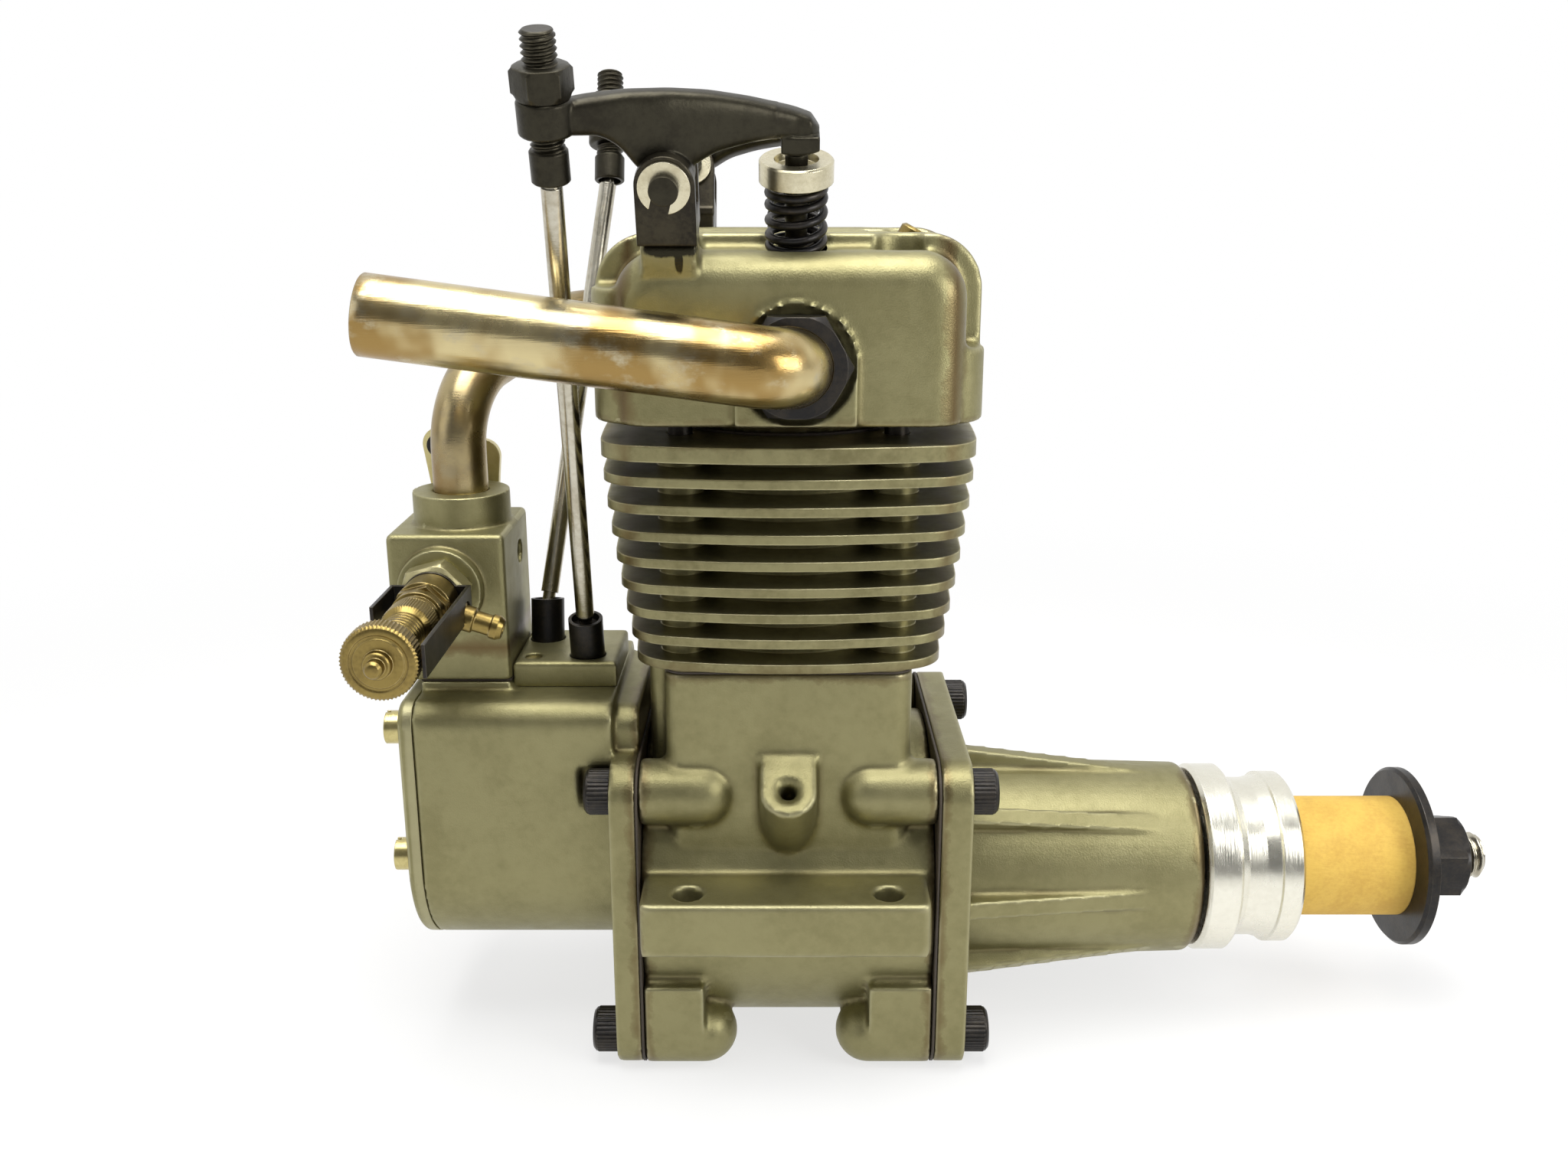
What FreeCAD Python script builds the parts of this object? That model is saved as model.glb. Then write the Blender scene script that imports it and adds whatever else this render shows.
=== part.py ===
import FreeCAD, Part
import math
import os

# Four-stroke model aircraft engine, about 7.5 cc. Millimetres. The crankshaft lies along X with the
# propeller at +X, the cylinder stands along Z, and the origin is where their two axes cross, which is
# also the middle of the beam mount's four holes.

V = FreeCAD.Vector
ORIGIN, X_AXIS, Y_AXIS, Z_AXIS = V(0, 0, 0), V(1, 0, 0), V(0, 1, 0), V(0, 0, 1)
NEAR, FAR = -1, 1

# Clearances
RUN = 0.08            # radial, a moving piece in its bore
SEAT = 0.03           # radial, a fixed piece in its seat
SMALL_GAP = 0.1       # between faces that must not touch

# Cylinder and crank mechanism
BORE = 22.0
STROKE = 19.6
ROD_LENGTH = 36.0
PIN_TO_CROWN = 9.6
PISTON_SKIRT = 6.0
PISTON_WALL = 1.6
CROWN_THICK = 3.0
RING_HEIGHT = 1.2
RING_DEPTH = 0.9
RING_DROP = 2.2
WRIST_PIN_R = 2.5
WRIST_PIN_LENGTH = 18.0
CRANKPIN_R = 2.7
ROD_END_R = 4.2
ROD_END_WIDTH = 6.0
ROD_SHANK_WIDTH = 5.0
ROD_SHANK_THICK = 3.6
LINER_WALL = 1.3
LINER_BOTTOM = 21.0
THROW = STROKE / 2
LINER_R = BORE / 2 + LINER_WALL
ROD_RELIEF = 0.4      # round the big end, where it swings into the crankcase wall

# Crankcase
CASE_HALF = 17.5
CHAMBER_R = 17.6
CHAMBER_WALL = 1.7
CASE_BOSS_R = 3.9
REAR_BOSS_LENGTH = 11.2
FRONT_BOSS_LENGTH = 11.6
SCREW_Y = 15.5
SCREW_Z = 16.0
NECK_X = 14.4
NECK_Y = 17.0
NECK_TOP = 31.2
NECK_CORNER = 2.5
NECK_PILLAR_R = 1.5
NECK_PILLAR_Y = 9.0
LUG_REAR_X = -CASE_HALF + 0.5
LUG_FRONT_X = CASE_HALF - 1.2
LUG_TOP = 6.6
LUG_REACH = 26.2
LUG_HOLE_R = 1.75
LUG_SPACING_X = 23.2
LUG_SPACING_Y = 45.8
BREATHER_Y = -20.7
BREATHER_Z = 18.5
BREATHER_ANGLE = 51.0
BREATHER_R = 3.35
BREATHER_RISE = 4.75
BREATHER_HOLE_R = 0.95
BREATHER_RIM_R = 1.55
BREATHER_RIM = 0.6
BREATHER_THREAD = 5.4
BREATHER_DRILL_R = 0.6

# Flanges, gaskets and M3 cap screws at the two ends of the crankcase
GASKET = 0.3
FLANGE_Y = 19.5
FLANGE_Z = 20.0
FLANGE_CORNER = 4.5
FRONT_FLANGE = 3.8
REAR_FLANGE = 3.1
SCREW_R = 1.5
SCREW_HEAD_R = 2.75
SCREW_HEAD = 3.1
SCREW_SOCKET_AF = 2.5
SCREW_SOCKET_DEEP = 1.4
SCREW_BITE = 7.0

# Nose housing, its ribs and bearings
NOSE_END = 51.7
NOSE_REAR_R = 13.0
NOSE_FRONT_R = 12.2
NOSE_RIBS = 8
RIB_TOP_R = 15.6
RIB_END_X = 47.0
RIB_WIDTH = 2.2
SPIGOT_LENGTH = 7.3
MAIN_BEARING_R = 12.0
MAIN_BEARING_WIDTH = 6.0
MAIN_JOURNAL_R = 6.0
FRONT_BEARING_R = 9.5
FRONT_BEARING_WIDTH = 6.0
FRONT_JOURNAL_R = 4.0
MID_SHAFT_R = 5.5
NOSE_BORE_R = 6.6

# Crankshaft web and what is clamped on the propeller shaft
WEB_X = 3.4
WEB_THICK = CASE_HALF - SPIGOT_LENGTH - WEB_X - 0.8
WEB_R = 15.5
WEB_WAIST = 6.4
DRIVER_X = 52.2
DRIVER_RING_R = 12.0
DRIVER_RING = 4.3
DRIVER_GROOVE_R = 10.2
DRIVER_GROOVE = 5.3
DRIVER_LIP_R = 11.0
DRIVER_LIP = 2.7
TUBE_R = 7.7
TUBE_LENGTH = 15.0
WASHER_R = 11.5
WASHER_THICK = 2.5
WASHER_BEVEL = 1.1
PROP_THREAD_R = 3.0
PROP_THREAD_ROOT_R = 2.55
NUT_AF = 10.0
NUT_HEIGHT = 6.0
SHAFT_END_X = 90.8

# Cam housing behind the crankcase
CAM_BACK = -44.5
CAM_HALF = 14.0
CAM_TOP = 26.0
CAM_ROUND_Z = 5.0
CAM_WALL = 2.0
CAM_SHOULDER = 3.0
CAM_FRONT_WALL_X = -21.8
CAM_NECK_HALF = 12.6
CAM_NECK_TOP = 25.0
CAM_NECK_BOTTOM = 8.0
COVER_THICK = 1.8
COVER_SCREW_Y = 11.0
COVER_SCREW_TOP_Z = 22.4
COVER_SCREW_LOW_Z = 5.7
SMALL_SCREW_R = 1.0
SMALL_HEAD_R = 2.0
SMALL_HEAD = 1.8
SMALL_BITE = 6.0
BUSH_R = 5.5
DRIVE_DISC_R = 12.5
DRIVE_DISC_THICK = CASE_HALF - SPIGOT_LENGTH - WEB_X - 1.2
DRIVE_JOURNAL_R = 3.5
DRIVE_SHAFT_R = 2.4
DRIVE_SLOT = 5.9

# Timing gears, camshaft, tappets
GEAR_MODULE = 0.6
PINION_TEETH = 15
CAM_GEAR_TEETH = 30
GEAR_BACKLASH = 0.16
GEAR_REAR_X = -42.0
GEAR_WIDTH = 3.6
CAM_SHAFT_R = 2.5
CAM_JOURNAL_X = -19.0
CAM_BASE_R = 3.4
CAM_NOSE_R = 1.6
CAM_LIFT = 2.0
LOBE_WIDTH = 4.0
LOBE_LAG = 125.0
NEAR_TAPPET_X = -24.8
FAR_TAPPET_X = -30.8
TAPPET_X = {NEAR: NEAR_TAPPET_X, FAR: FAR_TAPPET_X}
TAPPET_LEAN = 12.1
TAPPET_FOOT_R = 2.6
TAPPET_FOOT = 1.2
TAPPET_STEM_R = 2.0
TAPPET_CUP_R = 2.1
TAPPET_CUP_BORE = 1.7
TAPPET_CUP_DEEP = 1.0
TAPPET_TOP_Z = 34.0
TAPPET_GAP = 0.25
BLOCK_REAR_X = -33.5
BLOCK_FRONT_X = -CASE_HALF - GASKET - REAR_FLANGE
BLOCK_HALF = 6.8
BLOCK_TOP = 29.1
CAM_Z = GEAR_MODULE * (PINION_TEETH + CAM_GEAR_TEETH) / 2

# Cylinder barrel
FIN_COUNT = 9
FIN_PITCH = 3.12
FIN_THICK = 1.05
TOP_FIN_THICK = 1.75
CYLINDER_TOP = 58.2
FIN_TOP_HALF = 21.3
FIN_BOTTOM_HALF = FIN_TOP_HALF - 3.1
FIN_SIDE_BULGE = 0.9
FIN_FRONT_BULGE = 2.6
FIN_CORNER = 5.5
BARREL_R = 14.6
COLUMN_R = 2.6
BOLT_X = 12.2
BOLT_Y = 12.0
BOLT_R = 1.5
BOLT_HEAD_R = 2.6
BOLT_HEAD = 2.8
BOLT_SEAT_Z = 70.0
BOLT_DEPTH = 8.0

# Cylinder head
HEAD_BOTTOM = 60.1
HEAD_SPIGOT_R = 14.2
HEAD_HALF_X = FIN_TOP_HALF + 0.1
HEAD_HALF_Y = 18.6
HEAD_CORNER = 5.0
HEAD_FRONT_LEDGE = 68.2
HEAD_REAR_LEDGE = 74.5
ARCH_HALF_Y = 10.8
ARCH_TOP = 80.0
ARCH_ROUND = 6.0
BUMP_REAR_X = -18.6
BUMP_FRONT_X = 19.0
BUMP_TOP = 78.4
BUMP_FACE_Y = 20.2
BUMP_ROUND = 5.0
BUMP_EDGE = 3.6
VALLEY_SLOTS = (-6.4, -3.2, 0.0, 3.2, 6.4)
VALLEY_SLOT = 1.7
VALLEY_FLOOR = 71.5
DOME_R = 15.7
DOME_TOP = 62.5
PORT_Z = 66.8
PORT_R = 3.5
PORT_BOSS_R = 6.5
PORT_BOSS_RISE = 0.7
PORT_SINK_R = 6.3
PORT_SINK = 1.0
PORT_STUB = 7.5

# Valve gear, in the plane that leans outwards about X. Along is measured up the lean,
# across is measured square to it.
LEAN = 20.0
VALVE_X = 0.8
VALVE_ACROSS = 14.93
VALVE_HEAD_R = 4.8
VALVE_SEAT = 59.8
VALVE_STEM_R = 1.2
VALVE_TIP = 88.65
VALVE_THROAT_R = 3.9
THROAT_TOP = 67.5
GUIDE_R = 2.0
GUIDE_BOTTOM = 68.5
GUIDE_TOP = 79.0
SPRING_SEAT = 77.6
SPRING_POCKET_R = 4.2
SPRING_R = 3.4
SPRING_WIRE_R = 0.38
SPRING_COILS = 5
RETAINER_BOTTOM = 85.6
RETAINER_TOP = 87.9
RETAINER_R = 3.95
PIVOT_X = -12.4
PIVOT_ACROSS = 9.7
PIVOT_ALONG = 88.1
PIVOT_R = 1.5
BRACKET_HALF_X = 3.05
BRACKET_HALF = 3.6
BRACKET_GAP = 4.0
BRACKET_BOTTOM = 81.9
BRACKET_SLOT_BOTTOM = 84.6
BRACKET_STUD_R = 2.25
BRACKET_STUD_END = 76.5
CLIP_R = 2.65
CLIP_THICK = 0.4
CLIP_GROOVE_R = 1.15
ROCKER_HUB_R = 2.9
ROCKER_HUB = 3.7
PAD_BOTTOM = 88.7
PAD_CURVE_R = 6.0
PAD_FRONT = 2.4
PAD_REAR = 1.8
ROCKER_BACK_X = -9.0
ROCKER_BACK = 95.6
ROCKER_TIP_TOP = 92.2
ROCKER_TIP_LOW = 91.4
ROCKER_BELLY_FRONT = 91.0
ROCKER_BELLY_REAR = 90.9
ADJUSTER_X = -23.5
ADJUSTER_ACROSS = 6.26
EYE_R = 2.75
EYE_BOTTOM = 93.3
EYE_TOP = 96.8
ADJUSTER_R = 1.75
COLLAR_R = 1.95
COLLAR_BOTTOM = 88.6
COLLAR_TOP = 91.9
COLLAR_BORE = 1.5
COLLAR_DEEP = 1.3
LOCK_NUT_AF = 5.3
LOCK_NUT = 3.2
ADJUSTER_TOP = 103.2
PUSHROD_R = 1.1
PUSHROD_NECK_R = 0.8
PUSHROD_NECK = 1.7

# Glow plug
PLUG_FOOT_X = 5.4
PLUG_FOOT_Z = 63.2
PLUG_FOOT = V(PLUG_FOOT_X, 0, PLUG_FOOT_Z)
PLUG_LEAN = 30.0
PLUG_THREAD_R = 3.15
PLUG_THREAD = 5.0
PLUG_HEX_AF = 8.0
PLUG_HEX = 3.4
PLUG_LENGTH = 19.4
PLUG_COLLAR = 3.0
PLUG_COLLAR_R = 2.9
PLUG_POST_R = 1.7
PLUG_TIP_R = 1.95
PLUG_NECK_R = 1.2
PLUG_POCKET_R = 5.2

# Pipes
EXHAUST_R = 4.2
EXHAUST_WALL = 0.6
EXHAUST_SPIGOT = 14.0
EXHAUST_SPIGOT_R = 4.0
PIPE_OUT_Y = 26.0
PIPE_BEND_R = 5.4
EXHAUST_END_X = -43.0
EXHAUST_END_Z = 72.6
PIPE_NUT_AF = 10.5
PIPE_NUT_HEX = 3.4
INTAKE_R = 3.3
INTAKE_WALL = 0.5
INTAKE_RISE_Z = 62.0
INTAKE_TURN_X = -29.5
INTAKE_TURN_Z = 68.4
INTAKE_OUT_Y = 25.2
INTAKE_TURN = V(INTAKE_TURN_X, INTAKE_OUT_Y, INTAKE_TURN_Z)
INTAKE_LOW_BEND = 10.0
INTAKE_HIGH_BEND = 9.0

# Carburettor
CARB_REAR_X = -47.6
CARB_FRONT_X = BLOCK_REAR_X - SMALL_GAP
CARB_HALF = 8.0
CARB_BOTTOM = 27.0
CARB_TOP = 45.3
CARB_BOSS_R = 5.85
CARB_BOSS_TOP = 49.2
CARB_BOSS_X = -40.0
CARB_SEAT_Z = 44.4
AXIS_X = -41.2
AXIS_Z = 38.9
BARREL_BORE_R = 4.6
BARREL_PASSAGE_R = 2.7
INLET_R = 3.4
BALANCE_HOLE_R = 1.5
NEEDLE_BOSS_R = 5.0
NEEDLE_BOSS = 1.6
SPRAY_R = 3.3
SPRAY_END_Y = -21.5
CLAMP_R = 4.3
CLAMP = 3.4
RATCHET_THICK = 0.4
RATCHET_WIDTH = 3.6
KNOB_R = 4.05
KNOB_Y = -33.2
KNOB_THICK = 2.6
KNOB_NOTCHES = 30
NEEDLE_END_Y = -38.2
NIPPLE_R = 1.4
NIPPLE_TILT = 18.0
NIPPLE_REACH = 9.4
NIPPLE_LAND_END = 5.6
NIPPLE_LAND_R = 1.6
NIPPLE_Y = -15.5
ARM_Y = 8.5
ARM_THICK = 1.2
ARM_LINK_X = -44.3
ARM_LINK_Z = 53.2
ARM_SHOULDER_X = -39.0
ARM_SHOULDER_Z = 51.6
ARM_LINK = V(ARM_LINK_X, 0, ARM_LINK_Z)
ARM_SHOULDER = V(ARM_SHOULDER_X, 0, ARM_SHOULDER_Z)
ARM_END_R = 2.2
ARM_HUB_R = 3.2


def block(x0, x1, y0, y1, z0, z1):
    return Part.makeBox(x1 - x0, y1 - y0, z1 - z0, V(x0, y0, z0))


def rod(start, direction, radius, length):
    return Part.makeCylinder(radius, length, start, direction)


def tube(start, direction, outer, inner, length):
    return rod(start, direction, outer, length).cut(rod(start, direction, inner, length))


def turned(base, direction, profile):
    """Revolves (height along the axis, radius) points about an axis through base."""
    points = [V(radius, 0, height) for height, radius in profile]
    if profile[0][1] > 0 or profile[-1][1] > 0:
        if profile[0][1] > 0 and not math.isclose(profile[0][1], 0):
            points.insert(0, V(0, 0, profile[0][0]))
        if profile[-1][1] > 0:
            points.append(V(0, 0, profile[-1][0]))
    shape = Part.Face(Part.makePolygon(points + [points[0]])).revolve(ORIGIN, Z_AXIS, 360)
    shape.Placement = FreeCAD.Placement(base, FreeCAD.Rotation(Z_AXIS, direction))
    return shape


def hexagon(base, direction, across_flats, height):
    radius = across_flats / math.sqrt(3)
    corners = [V(radius * math.cos(math.radians(60 * i)), radius * math.sin(math.radians(60 * i)), 0)
               for i in range(7)]
    prism = Part.Face(Part.makePolygon(corners)).extrude(V(0, 0, height))
    top_bevel = turned(V(0, 0, 0), Z_AXIS, [(0, radius), (height - 0.14 * radius, radius),
                                            (height, 0.88 * radius)])
    prism = prism.common(top_bevel)
    prism.Placement = FreeCAD.Placement(base, FreeCAD.Rotation(Z_AXIS, direction))
    return prism


def join(shapes):
    whole = shapes[0]
    for shape in shapes[1:]:
        whole = whole.fuse(shape)
    return whole.removeSplitter()


def round_edges(shape, radius, wanted):
    return shape.makeFillet(radius, [edge for edge in shape.Edges if wanted(edge)])


def runs_along(edge, axis):
    if edge.Curve.TypeId != "Part::GeomLine":
        return False
    return abs(edge.tangentAt(edge.FirstParameter).dot(axis)) > 0.999


def plate(x0, x1, half_y, half_z, corner):
    """A plate square to X with rounded corners."""
    body = block(x0, x1, -half_y, half_y, -half_z, half_z)
    return round_edges(body, corner, lambda edge: runs_along(edge, X_AXIS))


def both_sides(shape):
    return [shape, shape.mirror(ORIGIN, Y_AXIS)]


def side_of(shape, side):
    return shape if side == NEAR else shape.mirror(ORIGIN, Y_AXIS)


def lean(shape):
    """Tips a shape that was drawn upright over to the near side, about the X axis."""
    leaned = shape.copy()
    leaned.rotate(ORIGIN, X_AXIS, LEAN)
    return leaned


def leaned_point(x, across, along):
    tilt = math.radians(LEAN)
    return V(x, across * math.cos(tilt) - along * math.sin(tilt),
             across * math.sin(tilt) + along * math.cos(tilt))


def tappet_axis():
    tilt = math.radians(TAPPET_LEAN)
    return V(0, -math.sin(tilt), math.cos(tilt))


def tappet_point(side, distance):
    return V(TAPPET_X[side], 0, CAM_Z) + tappet_axis() * distance


def tappet_distance(z):
    """How far along a tappet's axis the height z lies."""
    return (z - CAM_Z) / math.cos(math.radians(TAPPET_LEAN))


def tappet_bore(side, z_low, z_high, radius):
    low, high = tappet_distance(z_low), tappet_distance(z_high)
    return side_of(rod(tappet_point(side, low), tappet_axis(), radius, high - low), side)


def bent_rod(route, bends, radius):
    """A round rod along straight runs joined by tangent arcs."""
    edges = []
    start = route[0]
    for i, bend in enumerate(bends):
        corner = route[i + 1]
        before = (route[i] - corner).normalize()
        after = (route[i + 2] - corner).normalize()
        half_turn = before.getAngle(after) / 2
        reach = bend / math.tan(half_turn)
        first, last = corner + before * reach, corner + after * reach
        inward = (before + after).normalize()
        middle = corner + inward * (bend / math.sin(half_turn) - bend)
        edges.append(Part.makeLine(start, first))
        edges.append(Part.Arc(first, middle, last).toShape())
        start = last
    edges.append(Part.makeLine(start, route[-1]))
    direction = (route[1] - route[0]).normalize()
    ring = Part.Wire([Part.makeCircle(radius, route[0], direction)])
    return Part.Wire(edges).makePipeShell([ring], True, False)


def gear(teeth, x0, width, centre_z, first_angle):
    """Spur gear about an axis along X, with straight-sided teeth and the first one at first_angle."""
    pitch_r = GEAR_MODULE * teeth / 2
    tip_r = pitch_r + 0.9 * GEAR_MODULE
    root_r = pitch_r - 1.2 * GEAR_MODULE
    step = 2 * math.pi / teeth
    half_pitch = (math.pi * GEAR_MODULE / 2 - GEAR_BACKLASH) / 2
    points = []
    for i in range(teeth):
        middle = math.radians(first_angle) + i * step
        for radius, half in ((root_r, 1.45 * half_pitch), (tip_r, 0.5 * half_pitch)):
            points.append((radius, middle - half / radius))
        for radius, half in ((tip_r, 0.5 * half_pitch), (root_r, 1.45 * half_pitch)):
            points.append((radius, middle + half / radius))
    ring = [V(x0, r * math.cos(a), centre_z + r * math.sin(a)) for r, a in points]
    return Part.Face(Part.makePolygon(ring + [ring[0]])).extrude(V(width, 0, 0))


def screw_places():
    return [(y * SCREW_Y, z * SCREW_Z) for y in (-1, 1) for z in (-1, 1)]


def bolt_places():
    return [(x * BOLT_X, y * BOLT_Y) for x in (-1, 1) for y in (-1, 1)]


def cover_screw_places():
    return [(y * COVER_SCREW_Y, z) for y in (-1, 1) for z in (COVER_SCREW_TOP_Z, COVER_SCREW_LOW_Z)]


def cap_screw(base, direction, length):
    """Socket cap screw: base is under the head, and direction points out of the head."""
    head = rod(base, direction, SCREW_HEAD_R, SCREW_HEAD)
    socket = hexagon(base + direction * (SCREW_HEAD - SCREW_SOCKET_DEEP), direction,
                     SCREW_SOCKET_AF, SCREW_SOCKET_DEEP + 1)
    return head.fuse(rod(base, direction * -1, SCREW_R, length)).cut(socket)


def slotted_screw(base, direction, length):
    head = rod(base, direction, SMALL_HEAD_R, SMALL_HEAD)
    slot = block(-SMALL_HEAD_R, SMALL_HEAD_R, -0.3, 0.3, SMALL_HEAD - 0.6, SMALL_HEAD)
    slot.Placement = FreeCAD.Placement(base, FreeCAD.Rotation(Z_AXIS, direction))
    return head.fuse(rod(base, direction * -1, SMALL_SCREW_R, length)).cut(slot)


def breather_frame():
    """The breather boss's outward axis, and the direction up its sloping face."""
    angle = math.radians(BREATHER_ANGLE)
    return V(0, -math.cos(angle), math.sin(angle)), V(0, math.sin(angle), math.cos(angle))


def breather_boss():
    outward, upward = breather_frame()
    centre = V(0, BREATHER_Y, BREATHER_Z)
    depth = 12.0
    post = rod(centre - outward * depth, outward, BREATHER_R, depth)
    slab = block(-BREATHER_R, BREATHER_R, 0, BREATHER_RISE, 0, depth)
    slab.Placement = FreeCAD.Placement(
        centre - outward * depth, FreeCAD.Rotation(X_AXIS, upward, outward, "XZY"))
    return post.fuse(slab)


def bullet(x_open, direction, length, y, z):
    """Screw boss with a round inner end."""
    straight = length - CASE_BOSS_R
    boss = rod(V(x_open, y, z), V(direction, 0, 0), CASE_BOSS_R, straight)
    return boss.fuse(Part.makeSphere(CASE_BOSS_R, V(x_open + direction * straight, y, z)))


def crankcase():
    outer = rod(V(-CASE_HALF, 0, 0), X_AXIS, CHAMBER_R + CHAMBER_WALL, 2 * CASE_HALF)
    neck = block(-NECK_X, NECK_X, -NECK_Y, NECK_Y, 0, NECK_TOP)
    neck = round_edges(neck, NECK_CORNER, lambda edge: runs_along(edge, Z_AXIS))
    lugs = block(LUG_REAR_X, LUG_FRONT_X, -LUG_REACH, LUG_REACH, 0, LUG_TOP)
    lugs = round_edges(lugs, 1.0, lambda edge: runs_along(edge, Z_AXIS))
    pieces = [outer, neck, lugs, breather_boss()]
    for y, z in screw_places():
        for x_open, direction, length in ((-CASE_HALF, 1, REAR_BOSS_LENGTH),
                                          (CASE_HALF, -1, FRONT_BOSS_LENGTH)):
            pieces.append(bullet(x_open, direction, length, y, z))
            if z < 0:
                web = block(0, length - CASE_BOSS_R, -CASE_BOSS_R, CASE_BOSS_R, 0, SCREW_Z / 2)
                web.translate(V(min(x_open, x_open + direction * (length - CASE_BOSS_R)), y, z))
                pieces.append(web)
    for y in (-NECK_PILLAR_Y, NECK_PILLAR_Y):
        pieces.append(rod(V(-NECK_X - NECK_PILLAR_R / 2, y, CHAMBER_R), Z_AXIS, NECK_PILLAR_R,
                          NECK_TOP - CHAMBER_R))
    case = join(pieces)
    cuts = [rod(V(-CASE_HALF - 1, 0, 0), X_AXIS, CHAMBER_R, 2 * CASE_HALF + 2),
            rod(ORIGIN, Z_AXIS, LINER_R + SEAT, NECK_TOP + 1)]
    big_end_z = piston_pin_z() - math.sqrt(ROD_LENGTH ** 2 - THROW ** 2)
    for y in (-THROW, THROW):
        half = ROD_END_WIDTH / 2 + ROD_RELIEF
        cuts.append(rod(V(-half, y, big_end_z), X_AXIS, ROD_END_R + ROD_RELIEF, 2 * half))
    for x, y in bolt_places():
        cuts.append(rod(V(x, y, NECK_TOP - BOLT_DEPTH), Z_AXIS, BOLT_R + SEAT, BOLT_DEPTH + 1))
    for y, z in screw_places():
        cuts.append(rod(V(-CASE_HALF - 1, y, z), X_AXIS, SCREW_R + SEAT, SCREW_BITE + 1.5))
        cuts.append(rod(V(CASE_HALF + 1, y, z), X_AXIS * -1, SCREW_R + SEAT, SCREW_BITE + 1.5))
    for x in (-LUG_SPACING_X / 2, LUG_SPACING_X / 2):
        for y in (-LUG_SPACING_Y / 2, LUG_SPACING_Y / 2):
            cuts.append(rod(V(x, y, -1), Z_AXIS, LUG_HOLE_R, LUG_TOP + 2))
    outward, _ = breather_frame()
    face = V(0, BREATHER_Y, BREATHER_Z)
    cuts.append(rod(face - outward * 11.5, outward, BREATHER_DRILL_R, 12.0))
    cuts.append(rod(face - outward * (BREATHER_RIM + BREATHER_THREAD), outward, BREATHER_HOLE_R, 8.0))
    cuts.append(rod(face - outward * BREATHER_RIM, outward, BREATHER_RIM_R, 2.0))
    for cut in cuts:
        case = case.cut(cut)
    return case


def case_gasket(x0):
    sheet = plate(x0, x0 + GASKET, FLANGE_Y, FLANGE_Z, FLANGE_CORNER)
    sheet = sheet.cut(rod(V(x0 - 1, 0, 0), X_AXIS, CHAMBER_R, GASKET + 2))
    for y, z in screw_places():
        sheet = sheet.cut(rod(V(x0 - 1, y, z), X_AXIS, SCREW_R + SEAT, GASKET + 2))
    return sheet


def case_gaskets():
    return [case_gasket(-CASE_HALF - GASKET), case_gasket(CASE_HALF)]


def case_screws():
    front_x = CASE_HALF + GASKET + FRONT_FLANGE
    rear_x = -CASE_HALF - GASKET - REAR_FLANGE
    screws = []
    for y, z in screw_places():
        screws.append(cap_screw(V(front_x, y, z), X_AXIS, FRONT_FLANGE + GASKET + SCREW_BITE))
        screws.append(cap_screw(V(rear_x, y, z), X_AXIS * -1, REAR_FLANGE + GASKET + SCREW_BITE))
    return screws


def nose_housing():
    flange_x = CASE_HALF + GASKET
    flange = plate(flange_x, flange_x + FRONT_FLANGE, FLANGE_Y, FLANGE_Z, FLANGE_CORNER)
    spigot_x = CASE_HALF - SPIGOT_LENGTH
    spigot = rod(V(spigot_x, 0, 0), X_AXIS, CHAMBER_R - SEAT, SPIGOT_LENGTH + GASKET)
    nose_x = flange_x + FRONT_FLANGE
    cone = turned(V(nose_x - 1, 0, 0), X_AXIS,
                  [(0, NOSE_REAR_R), (NOSE_END - nose_x + 0.2, NOSE_FRONT_R),
                   (NOSE_END - nose_x + 1, NOSE_FRONT_R - 0.8)])
    pieces = [flange, spigot, cone]
    for i in range(NOSE_RIBS):
        outline = [V(nose_x - 1, -RIB_WIDTH / 2, 0), V(nose_x - 1, -RIB_WIDTH / 2, RIB_TOP_R),
                   V(RIB_END_X, -RIB_WIDTH / 2, NOSE_FRONT_R), V(RIB_END_X, -RIB_WIDTH / 2, 0)]
        rib = Part.Face(Part.makePolygon(outline + [outline[0]])).extrude(V(0, RIB_WIDTH, 0))
        rib.rotate(ORIGIN, X_AXIS, 360.0 * i / NOSE_RIBS)
        pieces.append(rib)
    nose = join(pieces)
    cuts = [rod(V(spigot_x - 1, 0, 0), X_AXIS, NOSE_BORE_R, NOSE_END - spigot_x + 2),
            rod(V(spigot_x - 1, 0, 0), X_AXIS, MAIN_BEARING_R + SEAT, MAIN_BEARING_WIDTH + 1),
            rod(V(NOSE_END - FRONT_BEARING_WIDTH, 0, 0), X_AXIS, FRONT_BEARING_R + SEAT,
                FRONT_BEARING_WIDTH + 1)]
    for y, z in screw_places():
        cuts.append(rod(V(flange_x - 1, y, z), X_AXIS, SCREW_R + SEAT, FRONT_FLANGE + 2))
    for cut in cuts:
        nose = nose.cut(cut)
    return nose


def bearing(x0, width, outer, inner):
    """Ball bearing as two races joined by a shielded cage that is set back from both faces."""
    step = (outer - inner) / 3.2
    races = tube(V(x0, 0, 0), X_AXIS, outer, outer - step, width)
    races = races.fuse(tube(V(x0, 0, 0), X_AXIS, inner + step, inner, width))
    cage = tube(V(x0 + 0.6, 0, 0), X_AXIS, outer - step / 2, inner + step / 2, width - 1.2)
    return races.fuse(cage).removeSplitter()


def shaft_bearings():
    return [bearing(CASE_HALF - SPIGOT_LENGTH, MAIN_BEARING_WIDTH, MAIN_BEARING_R, MAIN_JOURNAL_R + RUN),
            bearing(NOSE_END - FRONT_BEARING_WIDTH, FRONT_BEARING_WIDTH, FRONT_BEARING_R,
                    FRONT_JOURNAL_R + RUN)]


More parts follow.
